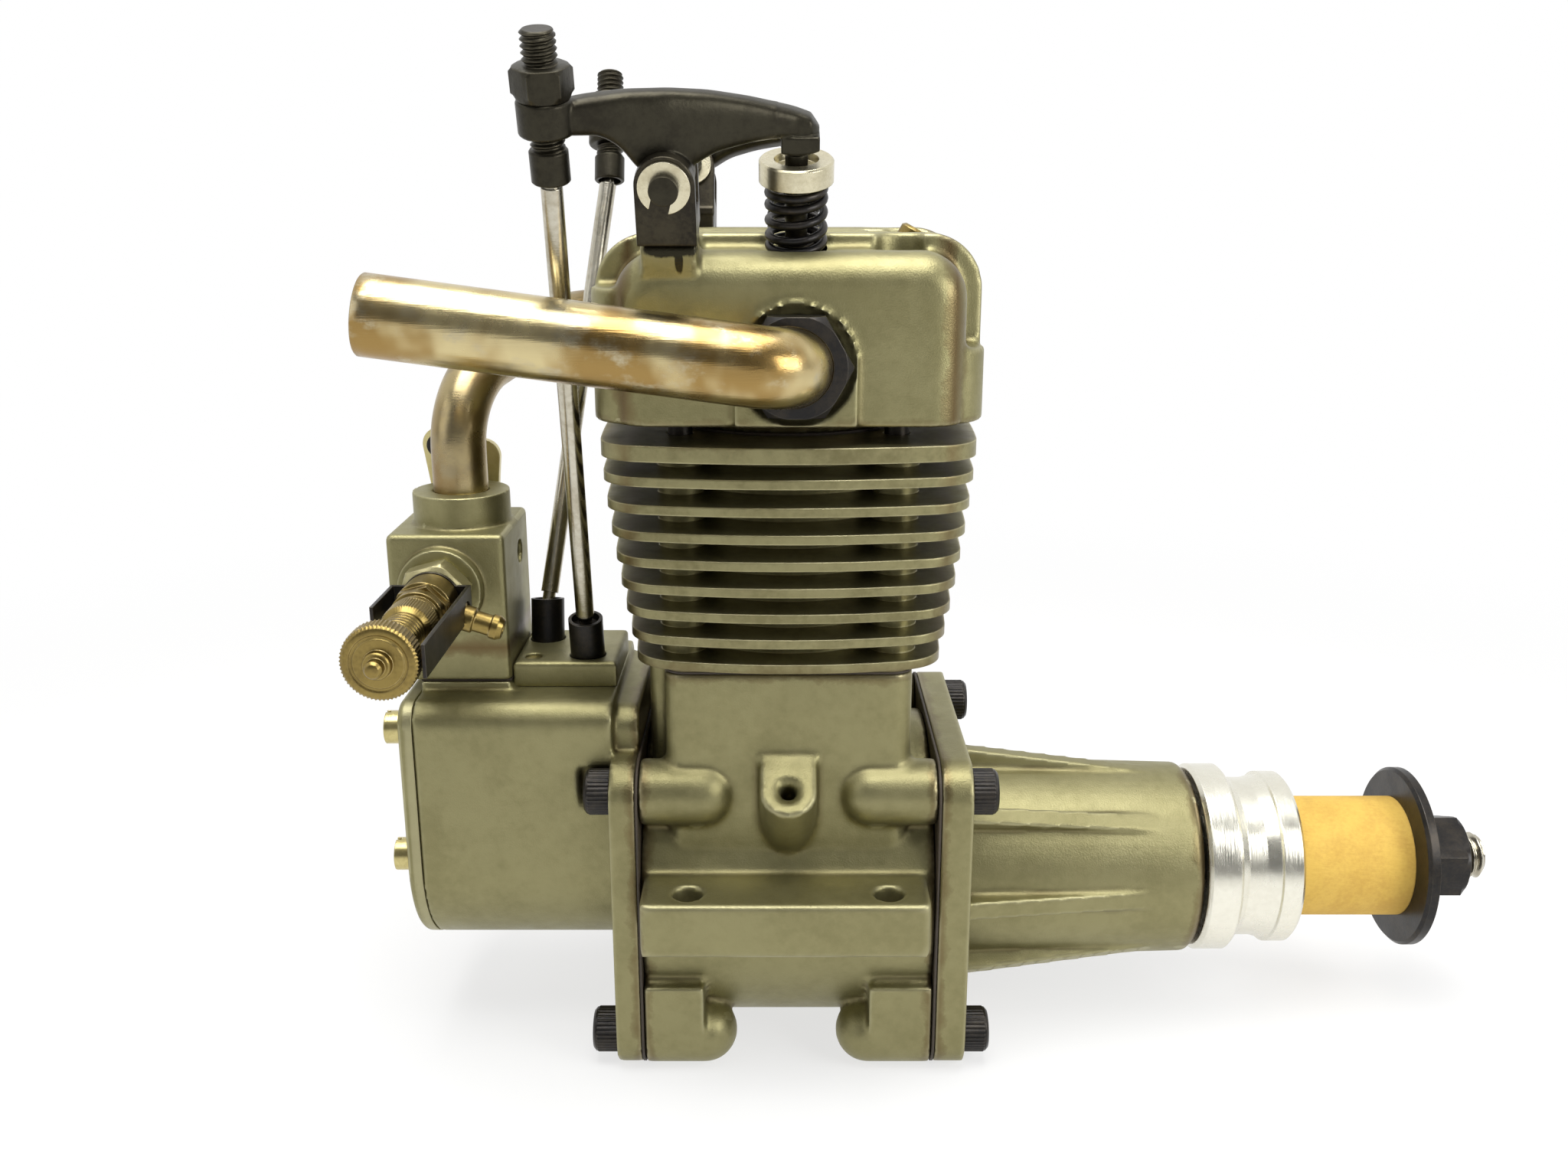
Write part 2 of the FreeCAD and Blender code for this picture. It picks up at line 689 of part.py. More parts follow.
def crankshaft():
    front_x = NOSE_END - FRONT_BEARING_WIDTH - SMALL_GAP
    web_end = WEB_X + WEB_THICK
    web = rod(V(WEB_X, 0, 0), X_AXIS, WEB_R, WEB_THICK)
    for side in (-1, 1):
        flank = block(WEB_X - 1, web_end + 1, 0, WEB_R, 0, WEB_R + 1)
        flank.translate(V(0, WEB_WAIST if side > 0 else -WEB_WAIST - WEB_R, 2.0))
        web = web.cut(flank)
    driver_end = DRIVER_X + DRIVER_RING + DRIVER_GROOVE + DRIVER_LIP
    main_end = CASE_HALF - SPIGOT_LENGTH + MAIN_BEARING_WIDTH + 0.5
    shaft = turned(ORIGIN, X_AXIS, [
        (web_end, MAIN_JOURNAL_R), (main_end, MAIN_JOURNAL_R), (main_end, MID_SHAFT_R),
        (front_x, MID_SHAFT_R), (front_x, FRONT_JOURNAL_R), (driver_end - 1.0, FRONT_JOURNAL_R),
        (driver_end - 1.0, PROP_THREAD_R), (nut_start(), PROP_THREAD_R),
        (nut_start(), PROP_THREAD_ROOT_R), (nut_start() + NUT_HEIGHT, PROP_THREAD_ROOT_R),
        (nut_start() + NUT_HEIGHT, PROP_THREAD_R), (SHAFT_END_X - 0.6, PROP_THREAD_R),
        (SHAFT_END_X, PROP_THREAD_R - 0.6)])
    return web.fuse(shaft).removeSplitter()


def prop_driver():
    ring_end = DRIVER_RING
    groove_end = ring_end + DRIVER_GROOVE
    lip_end = groove_end + DRIVER_LIP
    hub = turned(V(DRIVER_X, 0, 0), X_AXIS, [
        (0, DRIVER_RING_R - 0.5), (0.5, DRIVER_RING_R), (ring_end - 0.4, DRIVER_RING_R),
        (ring_end, DRIVER_RING_R - 0.4), (ring_end + 0.1, DRIVER_GROOVE_R + 0.6),
        (ring_end + 1.2, DRIVER_GROOVE_R), (groove_end - 1.8, DRIVER_GROOVE_R),
        (groove_end - 0.2, DRIVER_LIP_R - 0.4), (groove_end, DRIVER_LIP_R),
        (lip_end - 0.4, DRIVER_LIP_R), (lip_end, DRIVER_LIP_R - 0.4)])
    bore = turned(V(DRIVER_X, 0, 0), X_AXIS, [
        (-1, FRONT_JOURNAL_R + SEAT), (lip_end - 1.0 + SEAT, FRONT_JOURNAL_R + SEAT),
        (lip_end - 1.0 + SEAT, PROP_THREAD_R + SEAT), (lip_end + 1, PROP_THREAD_R + SEAT)])
    return hub.cut(bore)


def tube_start():
    return DRIVER_X + DRIVER_RING + DRIVER_GROOVE + DRIVER_LIP


def spacer_tube():
    return tube(V(tube_start(), 0, 0), X_AXIS, TUBE_R, PROP_THREAD_R + SEAT, TUBE_LENGTH)


def prop_washer():
    disc = turned(V(tube_start() + TUBE_LENGTH, 0, 0), X_AXIS, [
        (0, WASHER_R - 0.4), (0.4, WASHER_R), (WASHER_THICK - WASHER_BEVEL, WASHER_R),
        (WASHER_THICK, WASHER_R - 2.2 * WASHER_BEVEL)])
    return disc.cut(rod(V(tube_start(), 0, 0), X_AXIS, PROP_THREAD_R + SEAT, TUBE_LENGTH + 5))


def nut_start():
    return tube_start() + TUBE_LENGTH + WASHER_THICK


def prop_nut():
    start = V(nut_start(), 0, 0)
    return hexagon(start, X_AXIS, NUT_AF, NUT_HEIGHT).cut(
        rod(start, X_AXIS, PROP_THREAD_ROOT_R + SEAT, NUT_HEIGHT + 1))


def cam_outline(half, top, x0, x1, shoulder):
    """The cam housing's U section: flat top with rounded shoulders and a half-round belly."""
    body = block(x0, x1, -half, half, CAM_ROUND_Z, top)
    body = round_edges(body, shoulder, lambda edge: runs_along(edge, X_AXIS)
                       and edge.CenterOfMass.z > top - 0.1)
    return body.fuse(rod(V(x0, 0, CAM_ROUND_Z), X_AXIS, half, x1 - x0)).removeSplitter()


def cam_housing():
    flange_front = -CASE_HALF - GASKET
    flange_back = flange_front - REAR_FLANGE
    body = cam_outline(CAM_HALF, CAM_TOP, CAM_BACK, flange_back, CAM_SHOULDER)
    pad = block(CAM_BACK, BLOCK_REAR_X - SMALL_GAP, -CARB_HALF, CARB_HALF, CAM_TOP - 1, CARB_BOTTOM)
    flange = plate(flange_back, flange_front, FLANGE_Y, FLANGE_Z, FLANGE_CORNER)
    neck = block(flange_back - 1, flange_front, -CAM_NECK_HALF, CAM_NECK_HALF, CAM_NECK_BOTTOM,
                 CAM_NECK_TOP)
    neck = round_edges(neck, CAM_SHOULDER, lambda edge: runs_along(edge, X_AXIS)
                       and edge.CenterOfMass.z > CAM_NECK_TOP - 0.1)
    spigot = rod(V(-CASE_HALF - GASKET, 0, 0), X_AXIS, CHAMBER_R - SEAT, SPIGOT_LENGTH + GASKET)
    housing = join([body, pad, flange, neck, spigot])
    cavity = cam_outline(CAM_HALF - CAM_WALL, CAM_TOP - CAM_WALL, CAM_BACK - 1, CAM_FRONT_WALL_X,
                         CAM_SHOULDER - 1)
    for y, z in cover_screw_places():
        post = rod(V(CAM_BACK, y, z), X_AXIS, SMALL_SCREW_R + 1.4, SMALL_BITE + 2)
        cavity = cavity.cut(post)
    cuts = [cavity, rod(V(-CASE_HALF - 6, 0, 0), X_AXIS, BUSH_R + SEAT, SPIGOT_LENGTH + 8),
            rod(V(CAM_FRONT_WALL_X - 1, 0, CAM_Z), X_AXIS, CAM_SHAFT_R + RUN,
                CAM_JOURNAL_X + SMALL_GAP - CAM_FRONT_WALL_X + 1)]
    for y, z in cover_screw_places():
        cuts.append(rod(V(CAM_BACK - 1, y, z), X_AXIS, SMALL_SCREW_R + SEAT, SMALL_BITE + 1))
    for y, z in screw_places():
        cuts.append(rod(V(flange_back - 1, y, z), X_AXIS, SCREW_R + SEAT, REAR_FLANGE + 2))
        cuts.append(rod(V(flange_back, y, z), X_AXIS * -1, SCREW_HEAD_R + 0.25, SCREW_HEAD + 1))
    for side in (NEAR, FAR):
        cuts.append(tappet_bore(side, CAM_TOP - 2 * CAM_WALL, BLOCK_TOP, TAPPET_STEM_R + 0.4))
    screw_x, screw_y = block_screw_place()
    cuts.append(rod(V(screw_x, screw_y, CAM_TOP - CAM_WALL - 1), Z_AXIS, SMALL_SCREW_R + SEAT, 6))
    for cut in cuts:
        housing = housing.cut(cut)
    return housing


def rear_bush():
    inner = DRIVE_JOURNAL_R + RUN
    return tube(V(CAM_FRONT_WALL_X + 0.5, 0, 0), X_AXIS, BUSH_R, inner,
                -CASE_HALF + SPIGOT_LENGTH - CAM_FRONT_WALL_X - 0.5)


def cam_cover():
    lid = cam_outline(CAM_HALF, CAM_TOP, CAM_BACK - COVER_THICK, CAM_BACK, CAM_SHOULDER)
    lid = round_edges(lid, 0.8, lambda edge: edge.CenterOfMass.x < CAM_BACK - COVER_THICK + 0.01)
    socket = rod(V(CAM_BACK, 0, CAM_Z), X_AXIS, CAM_SHAFT_R + 1.6, 2.0)
    lid = lid.fuse(socket).removeSplitter()
    lid = lid.cut(rod(V(CAM_BACK - 0.6, 0, CAM_Z), X_AXIS, CAM_SHAFT_R + RUN, 4))
    for y, z in cover_screw_places():
        lid = lid.cut(rod(V(CAM_BACK - COVER_THICK - 1, y, z), X_AXIS, SMALL_SCREW_R + SEAT, 4))
    return lid


def block_screw_place():
    return (TAPPET_X[FAR] - 0.6, -BLOCK_HALF + 2.6)


def small_screws():
    screws = [slotted_screw(V(CAM_BACK - COVER_THICK, y, z), X_AXIS * -1, COVER_THICK + SMALL_BITE - 1)
              for y, z in cover_screw_places()]
    x, y = block_screw_place()
    grub = rod(V(x, y, CAM_TOP - CAM_WALL), Z_AXIS, SMALL_SCREW_R, BLOCK_TOP - CAM_TOP + CAM_WALL - 0.3)
    screws.append(grub)
    return screws


def tappet_block():
    body = block(BLOCK_REAR_X, BLOCK_FRONT_X, -BLOCK_HALF, BLOCK_HALF, CAM_TOP, BLOCK_TOP)
    body = round_edges(body, 0.6, lambda edge: edge.CenterOfMass.z > BLOCK_TOP - 0.01)
    for side in (NEAR, FAR):
        body = body.cut(tappet_bore(side, CAM_TOP - CAM_WALL, BLOCK_TOP + CAM_WALL, TAPPET_CUP_R + RUN))
    x, y = block_screw_place()
    return body.cut(rod(V(x, y, CAM_TOP - 1), Z_AXIS, SMALL_SCREW_R + SEAT, 6))


def drive_shaft():
    """Rear disc that the crankpin drives, with its shaft and the timing pinion."""
    disc_x = -WEB_X - DRIVE_DISC_THICK
    disc = rod(V(disc_x, 0, 0), X_AXIS, DRIVE_DISC_R, DRIVE_DISC_THICK)
    slot = block(disc_x + 1.6, 0, -DRIVE_SLOT / 2, DRIVE_SLOT / 2, THROW - DRIVE_SLOT / 2, DRIVE_DISC_R + 1)
    shaft = turned(ORIGIN, X_AXIS * -1, [
        (-disc_x, DRIVE_JOURNAL_R), (-CAM_FRONT_WALL_X + 0.4, DRIVE_JOURNAL_R),
        (-CAM_FRONT_WALL_X + 0.4, DRIVE_SHAFT_R), (-GEAR_REAR_X + 0.6, DRIVE_SHAFT_R)])
    pinion = gear(PINION_TEETH, GEAR_REAR_X, GEAR_WIDTH, 0, 90)
    return join([disc.cut(slot), shaft, pinion])


def cam_lobe(side):
    """Cam lobe: a base circle and a nose circle joined by tangent flanks."""
    x0 = TAPPET_X[side] - LOBE_WIDTH / 2
    rise = CAM_BASE_R + CAM_LIFT - CAM_NOSE_R
    lean_in = math.asin((CAM_BASE_R - CAM_NOSE_R) / rise)
    c, s = math.cos(lean_in), math.sin(lean_in)
    flank = [(CAM_BASE_R * c, CAM_BASE_R * s), (CAM_NOSE_R * c, rise + CAM_NOSE_R * s)]
    outline = [V(x0, flank[0][0], flank[0][1]), V(x0, flank[1][0], flank[1][1]),
               V(x0, -flank[1][0], flank[1][1]), V(x0, -flank[0][0], flank[0][1])]
    lobe = Part.Face(Part.makePolygon(outline + [outline[0]])).extrude(V(LOBE_WIDTH, 0, 0))
    lobe = lobe.fuse(rod(V(x0, 0, 0), X_AXIS, CAM_BASE_R, LOBE_WIDTH))
    lobe = lobe.fuse(rod(V(x0, 0, rise), X_AXIS, CAM_NOSE_R, LOBE_WIDTH))
    angle = TAPPET_LEAN + LOBE_LAG
    lobe.rotate(ORIGIN, X_AXIS, angle if side == NEAR else -angle)
    lobe.translate(V(0, 0, CAM_Z))
    return lobe


def camshaft():
    shaft = rod(V(CAM_BACK - 0.4, 0, CAM_Z), X_AXIS, CAM_SHAFT_R, CAM_JOURNAL_X - CAM_BACK + 0.4)
    return join([shaft, cam_lobe(NEAR), cam_lobe(FAR)])


def cam_gear():
    half_tooth = 180.0 / CAM_GEAR_TEETH
    wheel = gear(CAM_GEAR_TEETH, GEAR_REAR_X, GEAR_WIDTH, CAM_Z, 270 + half_tooth)
    return wheel.cut(rod(V(GEAR_REAR_X - 1, 0, CAM_Z), X_AXIS, CAM_SHAFT_R + SEAT, GEAR_WIDTH + 2))


def piston_pin_z():
    return THROW + ROD_LENGTH


def piston():
    pin_z = piston_pin_z()
    crown = pin_z + PIN_TO_CROWN
    outer_r = BORE / 2 - RUN
    bottom = pin_z - PISTON_SKIRT
    body = rod(V(0, 0, bottom), Z_AXIS, outer_r, crown - bottom)
    hollow = rod(V(0, 0, bottom - 1), Z_AXIS, outer_r - PISTON_WALL, crown - CROWN_THICK - bottom + 1)
    half_gap = ROD_END_WIDTH / 2 + 0.8
    bosses = block(half_gap, BORE, -4.2, 4.2, pin_z - 4.2, crown)
    hollow = hollow.cut(bosses).cut(bosses.mirror(ORIGIN, X_AXIS))
    groove_top = crown - RING_DROP
    groove = tube(V(0, 0, groove_top - RING_HEIGHT - 0.05), Z_AXIS, BORE, outer_r - RING_DEPTH - 0.1,
                  RING_HEIGHT + 0.1)
    pin_hole = rod(V(-WRIST_PIN_LENGTH / 2 - SMALL_GAP, 0, pin_z), X_AXIS, WRIST_PIN_R + SEAT,
                   WRIST_PIN_LENGTH + 2 * SMALL_GAP)
    return body.cut(hollow).cut(groove).cut(pin_hole)


def piston_ring():
    crown = piston_pin_z() + PIN_TO_CROWN
    outer_r = BORE / 2 - RUN
    ring = tube(V(0, 0, crown - RING_DROP - RING_HEIGHT), Z_AXIS, outer_r, outer_r - RING_DEPTH,
                RING_HEIGHT)
    return ring.cut(block(-0.15, 0.15, 0, BORE, 0, crown))


def wrist_pin():
    return tube(V(-WRIST_PIN_LENGTH / 2, 0, piston_pin_z()), X_AXIS, WRIST_PIN_R, WRIST_PIN_R - 1.1,
                WRIST_PIN_LENGTH)


def connecting_rod():
    top, bottom = piston_pin_z(), THROW
    half = ROD_END_WIDTH / 2
    ends = [rod(V(-half, 0, z), X_AXIS, ROD_END_R, ROD_END_WIDTH) for z in (top, bottom)]
    shank = block(-ROD_SHANK_THICK / 2, ROD_SHANK_THICK / 2, -ROD_SHANK_WIDTH / 2, ROD_SHANK_WIDTH / 2,
                  bottom, top)
    body = join(ends + [shank])
    for x in (-ROD_SHANK_THICK / 2 - 1, ROD_SHANK_THICK / 2 - 0.9):
        body = body.cut(block(x, x + 1.9, -ROD_SHANK_WIDTH / 2 + 1.1, ROD_SHANK_WIDTH / 2 - 1.1,
                              bottom + ROD_END_R + 1, top - ROD_END_R - 1))
    body = body.cut(rod(V(-half - 1, 0, top), X_AXIS, WRIST_PIN_R + RUN, ROD_END_WIDTH + 2))
    return body.cut(rod(V(-half - 1, 0, bottom), X_AXIS, CRANKPIN_R + SEAT, ROD_END_WIDTH + 2))


def crankpin():
    half = ROD_END_WIDTH / 2
    return rod(V(-half, 0, THROW), X_AXIS, CRANKPIN_R, ROD_END_WIDTH)


def fin_half(fraction):
    """Half width of a fin: nearly straight at the top and drawing in faster towards the bottom."""
    return FIN_TOP_HALF - (FIN_TOP_HALF - FIN_BOTTOM_HALF) * fraction ** 1.35


def fin(z0, z1, half):
    side, front = half, half + 0.6
    side_corner, front_corner = side - FIN_SIDE_BULGE, front - FIN_FRONT_BULGE
    corners = [V(side_corner, front_corner, z0), V(-side_corner, front_corner, z0),
               V(-side_corner, -front_corner, z0), V(side_corner, -front_corner, z0)]
    crests = [V(0, front, z0), V(-side, 0, z0), V(0, -front, z0), V(side, 0, z0)]
    edges = [Part.Arc(corners[i], crests[i], corners[(i + 1) % 4]).toShape() for i in range(4)]
    slab = Part.Face(Part.Wire(edges)).extrude(V(0, 0, z1 - z0))
    return round_edges(slab, FIN_CORNER, lambda edge: runs_along(edge, Z_AXIS))


def cylinder():
    base_z = NECK_TOP + GASKET
    top_middle = CYLINDER_TOP - TOP_FIN_THICK / 2
    barrel = rod(V(0, 0, base_z), Z_AXIS, BARREL_R, CYLINDER_TOP - base_z)
    lowest = top_middle - (FIN_COUNT - 1) * FIN_PITCH - FIN_THICK / 2
    foot = block(-NECK_X, NECK_X, -NECK_Y, NECK_Y, base_z, lowest)
    foot = round_edges(foot, NECK_CORNER, lambda edge: runs_along(edge, Z_AXIS))
    pieces = [barrel, foot]
    for x, y in bolt_places():
        pieces.append(rod(V(x, y, base_z), Z_AXIS, COLUMN_R, CYLINDER_TOP - base_z))
    for i in range(FIN_COUNT):
        middle = top_middle - i * FIN_PITCH
        thick = TOP_FIN_THICK if i == 0 else FIN_THICK
        pieces.append(fin(middle - thick / 2, middle + thick / 2, fin_half(i / (FIN_COUNT - 1))))
    body = join(pieces)
    body = body.cut(rod(V(0, 0, base_z - 1), Z_AXIS, LINER_R + SEAT, CYLINDER_TOP))
    for x, y in bolt_places():
        body = body.cut(rod(V(x, y, base_z - 1), Z_AXIS, BOLT_R + SEAT, CYLINDER_TOP))
    return body


def cylinder_liner():
    return tube(V(0, 0, LINER_BOTTOM), Z_AXIS, LINER_R, BORE / 2, CYLINDER_TOP - LINER_BOTTOM)


def cylinder_gaskets():
    base = block(-NECK_X, NECK_X, -NECK_Y, NECK_Y, NECK_TOP, NECK_TOP + GASKET)
    base = round_edges(base, NECK_CORNER, lambda edge: runs_along(edge, Z_AXIS))
    base = base.cut(rod(V(0, 0, NECK_TOP - 1), Z_AXIS, LINER_R + SEAT, 3))
    for x, y in bolt_places():
        base = base.cut(rod(V(x, y, NECK_TOP - 1), Z_AXIS, BOLT_R + SEAT, 3))
    head = tube(V(0, 0, CYLINDER_TOP), Z_AXIS, HEAD_SPIGOT_R, BORE / 2 + 0.2, GASKET)
    return [base, head]


def head_bolts():
    bottom = NECK_TOP - BOLT_DEPTH + 0.5
    bolts = []
    for x, y in bolt_places():
        head = rod(V(x, y, BOLT_SEAT_Z), Z_AXIS, BOLT_HEAD_R, BOLT_HEAD)
        socket = hexagon(V(x, y, BOLT_SEAT_Z + BOLT_HEAD - SCREW_SOCKET_DEEP), Z_AXIS, SCREW_SOCKET_AF,
                         SCREW_SOCKET_DEEP + 1)
        bolts.append(head.fuse(rod(V(x, y, bottom), Z_AXIS, BOLT_R, BOLT_SEAT_Z - bottom)).cut(socket))
    return bolts


def plug_axis():
    tilt = math.radians(PLUG_LEAN)
    return V(math.sin(tilt), 0, math.cos(tilt))


def head_bump():
    """Rounded housing over one port: an arch drawn along X, with a soft top and outer edge."""
    body = block(BUMP_REAR_X, BUMP_FRONT_X, -BUMP_FACE_Y, 0, HEAD_BOTTOM, BUMP_TOP)
    body = round_edges(body, BUMP_ROUND, lambda edge: runs_along(edge, Y_AXIS)
                       and edge.CenterOfMass.z > BUMP_TOP - 0.1)
    body = round_edges(body, BUMP_EDGE, lambda edge: edge.CenterOfMass.y < -BUMP_FACE_Y + 0.1
                       and edge.CenterOfMass.z > HEAD_BOTTOM + 0.1)
    boss_y = -BUMP_FACE_Y - PORT_BOSS_RISE
    boss = rod(V(VALVE_X, boss_y, PORT_Z), Y_AXIS, PORT_BOSS_R, 8)
    stem = block(VALVE_X - PORT_BOSS_R, VALVE_X + PORT_BOSS_R, boss_y, boss_y + 8, HEAD_BOTTOM, PORT_Z)
    return join([body, boss, stem])


def valve_line(bottom, radius, top):
    return lean(rod(V(VALVE_X, VALVE_ACROSS, bottom), Z_AXIS, radius, top - bottom))


def head_side_cuts():
    """Everything cut for one valve, on the near side."""
    seat = lean(turned(V(VALVE_X, VALVE_ACROSS, 0), Z_AXIS, [
        (VALVE_SEAT - 8, VALVE_HEAD_R + 0.2), (VALVE_SEAT + 0.1, VALVE_HEAD_R + 0.2),
        (VALVE_SEAT + 1.2, VALVE_THROAT_R), (THROAT_TOP, VALVE_THROAT_R)]))
    throat_middle = leaned_point(VALVE_X, VALVE_ACROSS, 65.6)
    boss_y = -BUMP_FACE_Y - PORT_BOSS_RISE
    port = rod(V(VALVE_X, boss_y - 1, PORT_Z), Y_AXIS, PORT_R, throat_middle.y - boss_y + 1)
    stub = rod(V(VALVE_X, boss_y - 1, PORT_Z), Y_AXIS, EXHAUST_R + 0.8 + SEAT, PORT_STUB + PORT_SINK + 1)
    sink = rod(V(VALVE_X, boss_y - 1, PORT_Z), Y_AXIS, PORT_SINK_R, PORT_SINK + 1)
    guide = valve_line(GUIDE_BOTTOM - 5, GUIDE_R + SEAT, GUIDE_TOP + 1)
    pocket = valve_line(SPRING_SEAT, SPRING_POCKET_R, SPRING_SEAT + 12)
    stud = lean(rod(V(PIVOT_X, PIVOT_ACROSS, BRACKET_STUD_END - SMALL_GAP), Z_AXIS,
                    BRACKET_STUD_R + SEAT, 12))
    return [seat, port, stub, sink, guide, pocket, stud]


def cylinder_head():
    spigot = rod(V(0, 0, CYLINDER_TOP + GASKET), Z_AXIS, HEAD_SPIGOT_R, 4)
    front = block(-1, HEAD_HALF_X, -HEAD_HALF_Y, HEAD_HALF_Y, HEAD_BOTTOM, HEAD_FRONT_LEDGE)
    rear = block(-HEAD_HALF_X, 0, -HEAD_HALF_Y, HEAD_HALF_Y, HEAD_BOTTOM, HEAD_REAR_LEDGE)
    front = round_edges(front, HEAD_CORNER, lambda edge: runs_along(edge, Z_AXIS)
                        and edge.CenterOfMass.x > HEAD_HALF_X - 0.1)
    rear = round_edges(rear, HEAD_CORNER, lambda edge: runs_along(edge, Z_AXIS)
                       and edge.CenterOfMass.x < -HEAD_HALF_X + 0.1)
    arch = block(-HEAD_HALF_X, HEAD_HALF_X, -ARCH_HALF_Y, ARCH_HALF_Y, HEAD_BOTTOM, ARCH_TOP)
    arch = round_edges(arch, ARCH_ROUND, lambda edge: runs_along(edge, Y_AXIS)
                       and edge.CenterOfMass.z > ARCH_TOP - 0.1)
    head = join([spigot, front, rear, arch] + both_sides(head_bump()))
    for y in VALLEY_SLOTS:
        head = head.cut(block(-HEAD_HALF_X - 1, HEAD_HALF_X + 1, y - VALLEY_SLOT / 2, y + VALLEY_SLOT / 2,
                              VALLEY_FLOOR, ARCH_TOP + 1))
    dome = Part.makeSphere(DOME_R, V(0, 0, DOME_TOP - DOME_R))
    cuts = [dome.common(rod(V(0, 0, CYLINDER_TOP), Z_AXIS, BORE / 2, DOME_TOP - CYLINDER_TOP + 1))]
    plug_foot = PLUG_FOOT - plug_axis() * PLUG_THREAD
    cuts.append(rod(plug_foot, plug_axis(), PLUG_THREAD_R + SEAT, 2.4 * PLUG_THREAD))
    cuts.append(rod(PLUG_FOOT + plug_axis() * PLUG_THREAD, plug_axis(), PLUG_POCKET_R, 1.5 * PLUG_LENGTH))
    for x, y in bolt_places():
        cuts.append(rod(V(x, y, CYLINDER_TOP), Z_AXIS, BOLT_R + SEAT, BOLT_SEAT_Z - CYLINDER_TOP + 1))
        cuts.append(rod(V(x, y, BOLT_SEAT_Z), Z_AXIS, BOLT_HEAD_R + 0.3, ARCH_TOP - BOLT_SEAT_Z + 1))
    for cut in head_side_cuts():
        cuts += both_sides(cut)
    for cut in cuts:
        head = head.cut(cut)
    return head


def glow_plug():
    axis = plug_axis()
    foot = turned(PLUG_FOOT, axis, [(0, PLUG_THREAD_R - 0.5), (0.5, PLUG_THREAD_R),
                                    (PLUG_THREAD, PLUG_THREAD_R)])
    nut = hexagon(PLUG_FOOT + axis * (PLUG_THREAD + SEAT), axis, PLUG_HEX_AF, PLUG_HEX)
    post_start = PLUG_THREAD + PLUG_HEX
    post = turned(PLUG_FOOT, axis, [
        (PLUG_THREAD - 1, PLUG_COLLAR_R - 0.9), (post_start, PLUG_COLLAR_R),
        (post_start + PLUG_COLLAR, PLUG_COLLAR_R - 0.2), (post_start + PLUG_COLLAR + 0.4, PLUG_POST_R),
        (PLUG_LENGTH - 3.4, PLUG_POST_R), (PLUG_LENGTH - 3.4, PLUG_NECK_R), (PLUG_LENGTH - 1.5, PLUG_NECK_R),
        (PLUG_LENGTH - 1.5, PLUG_TIP_R), (PLUG_LENGTH - 0.3, PLUG_TIP_R), (PLUG_LENGTH, PLUG_TIP_R - 0.35)])
    return join([foot, nut, post])


def pipe_foot_y():
    return -BUMP_FACE_Y - PORT_BOSS_RISE + PORT_STUB + PORT_SINK - SMALL_GAP


def exhaust_run(radius):
    route = [V(VALVE_X, pipe_foot_y(), PORT_Z), V(VALVE_X, -PIPE_OUT_Y, PORT_Z),
             V(EXHAUST_END_X, -PIPE_OUT_Y, EXHAUST_END_Z)]
    return bent_rod(route, [PIPE_BEND_R], radius)


def intake_run(radius):
    route = [V(VALVE_X, -pipe_foot_y(), PORT_Z), V(VALVE_X, INTAKE_TURN.y, PORT_Z), INTAKE_TURN,
             V(CARB_BOSS_X, 0, INTAKE_RISE_Z), V(CARB_BOSS_X, 0, CARB_SEAT_Z + SMALL_GAP)]
    return bent_rod(route, [PIPE_BEND_R, INTAKE_HIGH_BEND, INTAKE_LOW_BEND], radius)


def exhaust_pipe():
    """Bent pipe, its free end sized a little smaller so that a silencer slides on."""
    pipe = exhaust_run(EXHAUST_R).cut(exhaust_run(EXHAUST_R - EXHAUST_WALL))
    end = V(EXHAUST_END_X, -PIPE_OUT_Y, EXHAUST_END_Z)
    inward = (V(VALVE_X, -PIPE_OUT_Y, PORT_Z) - end).normalize()
    return pipe.cut(tube(end - inward, inward, EXHAUST_R + 1, EXHAUST_SPIGOT_R, EXHAUST_SPIGOT + 1))


def intake_pipe():
    return intake_run(INTAKE_R).cut(intake_run(INTAKE_R - INTAKE_WALL))


def pipe_nuts():
    """Gland nuts: a hexagon outside the head, a sleeve inside it, and a mouth that clears the bend."""
    face_y = -BUMP_FACE_Y - PORT_BOSS_RISE + PORT_SINK
    flats = hexagon(V(VALVE_X, face_y, PORT_Z), Y_AXIS * -1, PIPE_NUT_AF, PIPE_NUT_HEX)
    sleeve = rod(V(VALVE_X, face_y, PORT_Z), Y_AXIS, EXHAUST_R + 0.8, PORT_STUB - 1)
    blank = flats.fuse(sleeve).removeSplitter()
    return [blank.cut(exhaust_run(EXHAUST_R + SEAT)),
            blank.mirror(ORIGIN, Y_AXIS).cut(intake_run(INTAKE_R + SEAT))]


def carb_gasket():
    sheet = block(CAM_BACK, BLOCK_REAR_X - SMALL_GAP, -CARB_HALF + 0.4, CARB_HALF - 0.4, CARB_BOTTOM,
                  CARB_BOTTOM + GASKET)
    return sheet


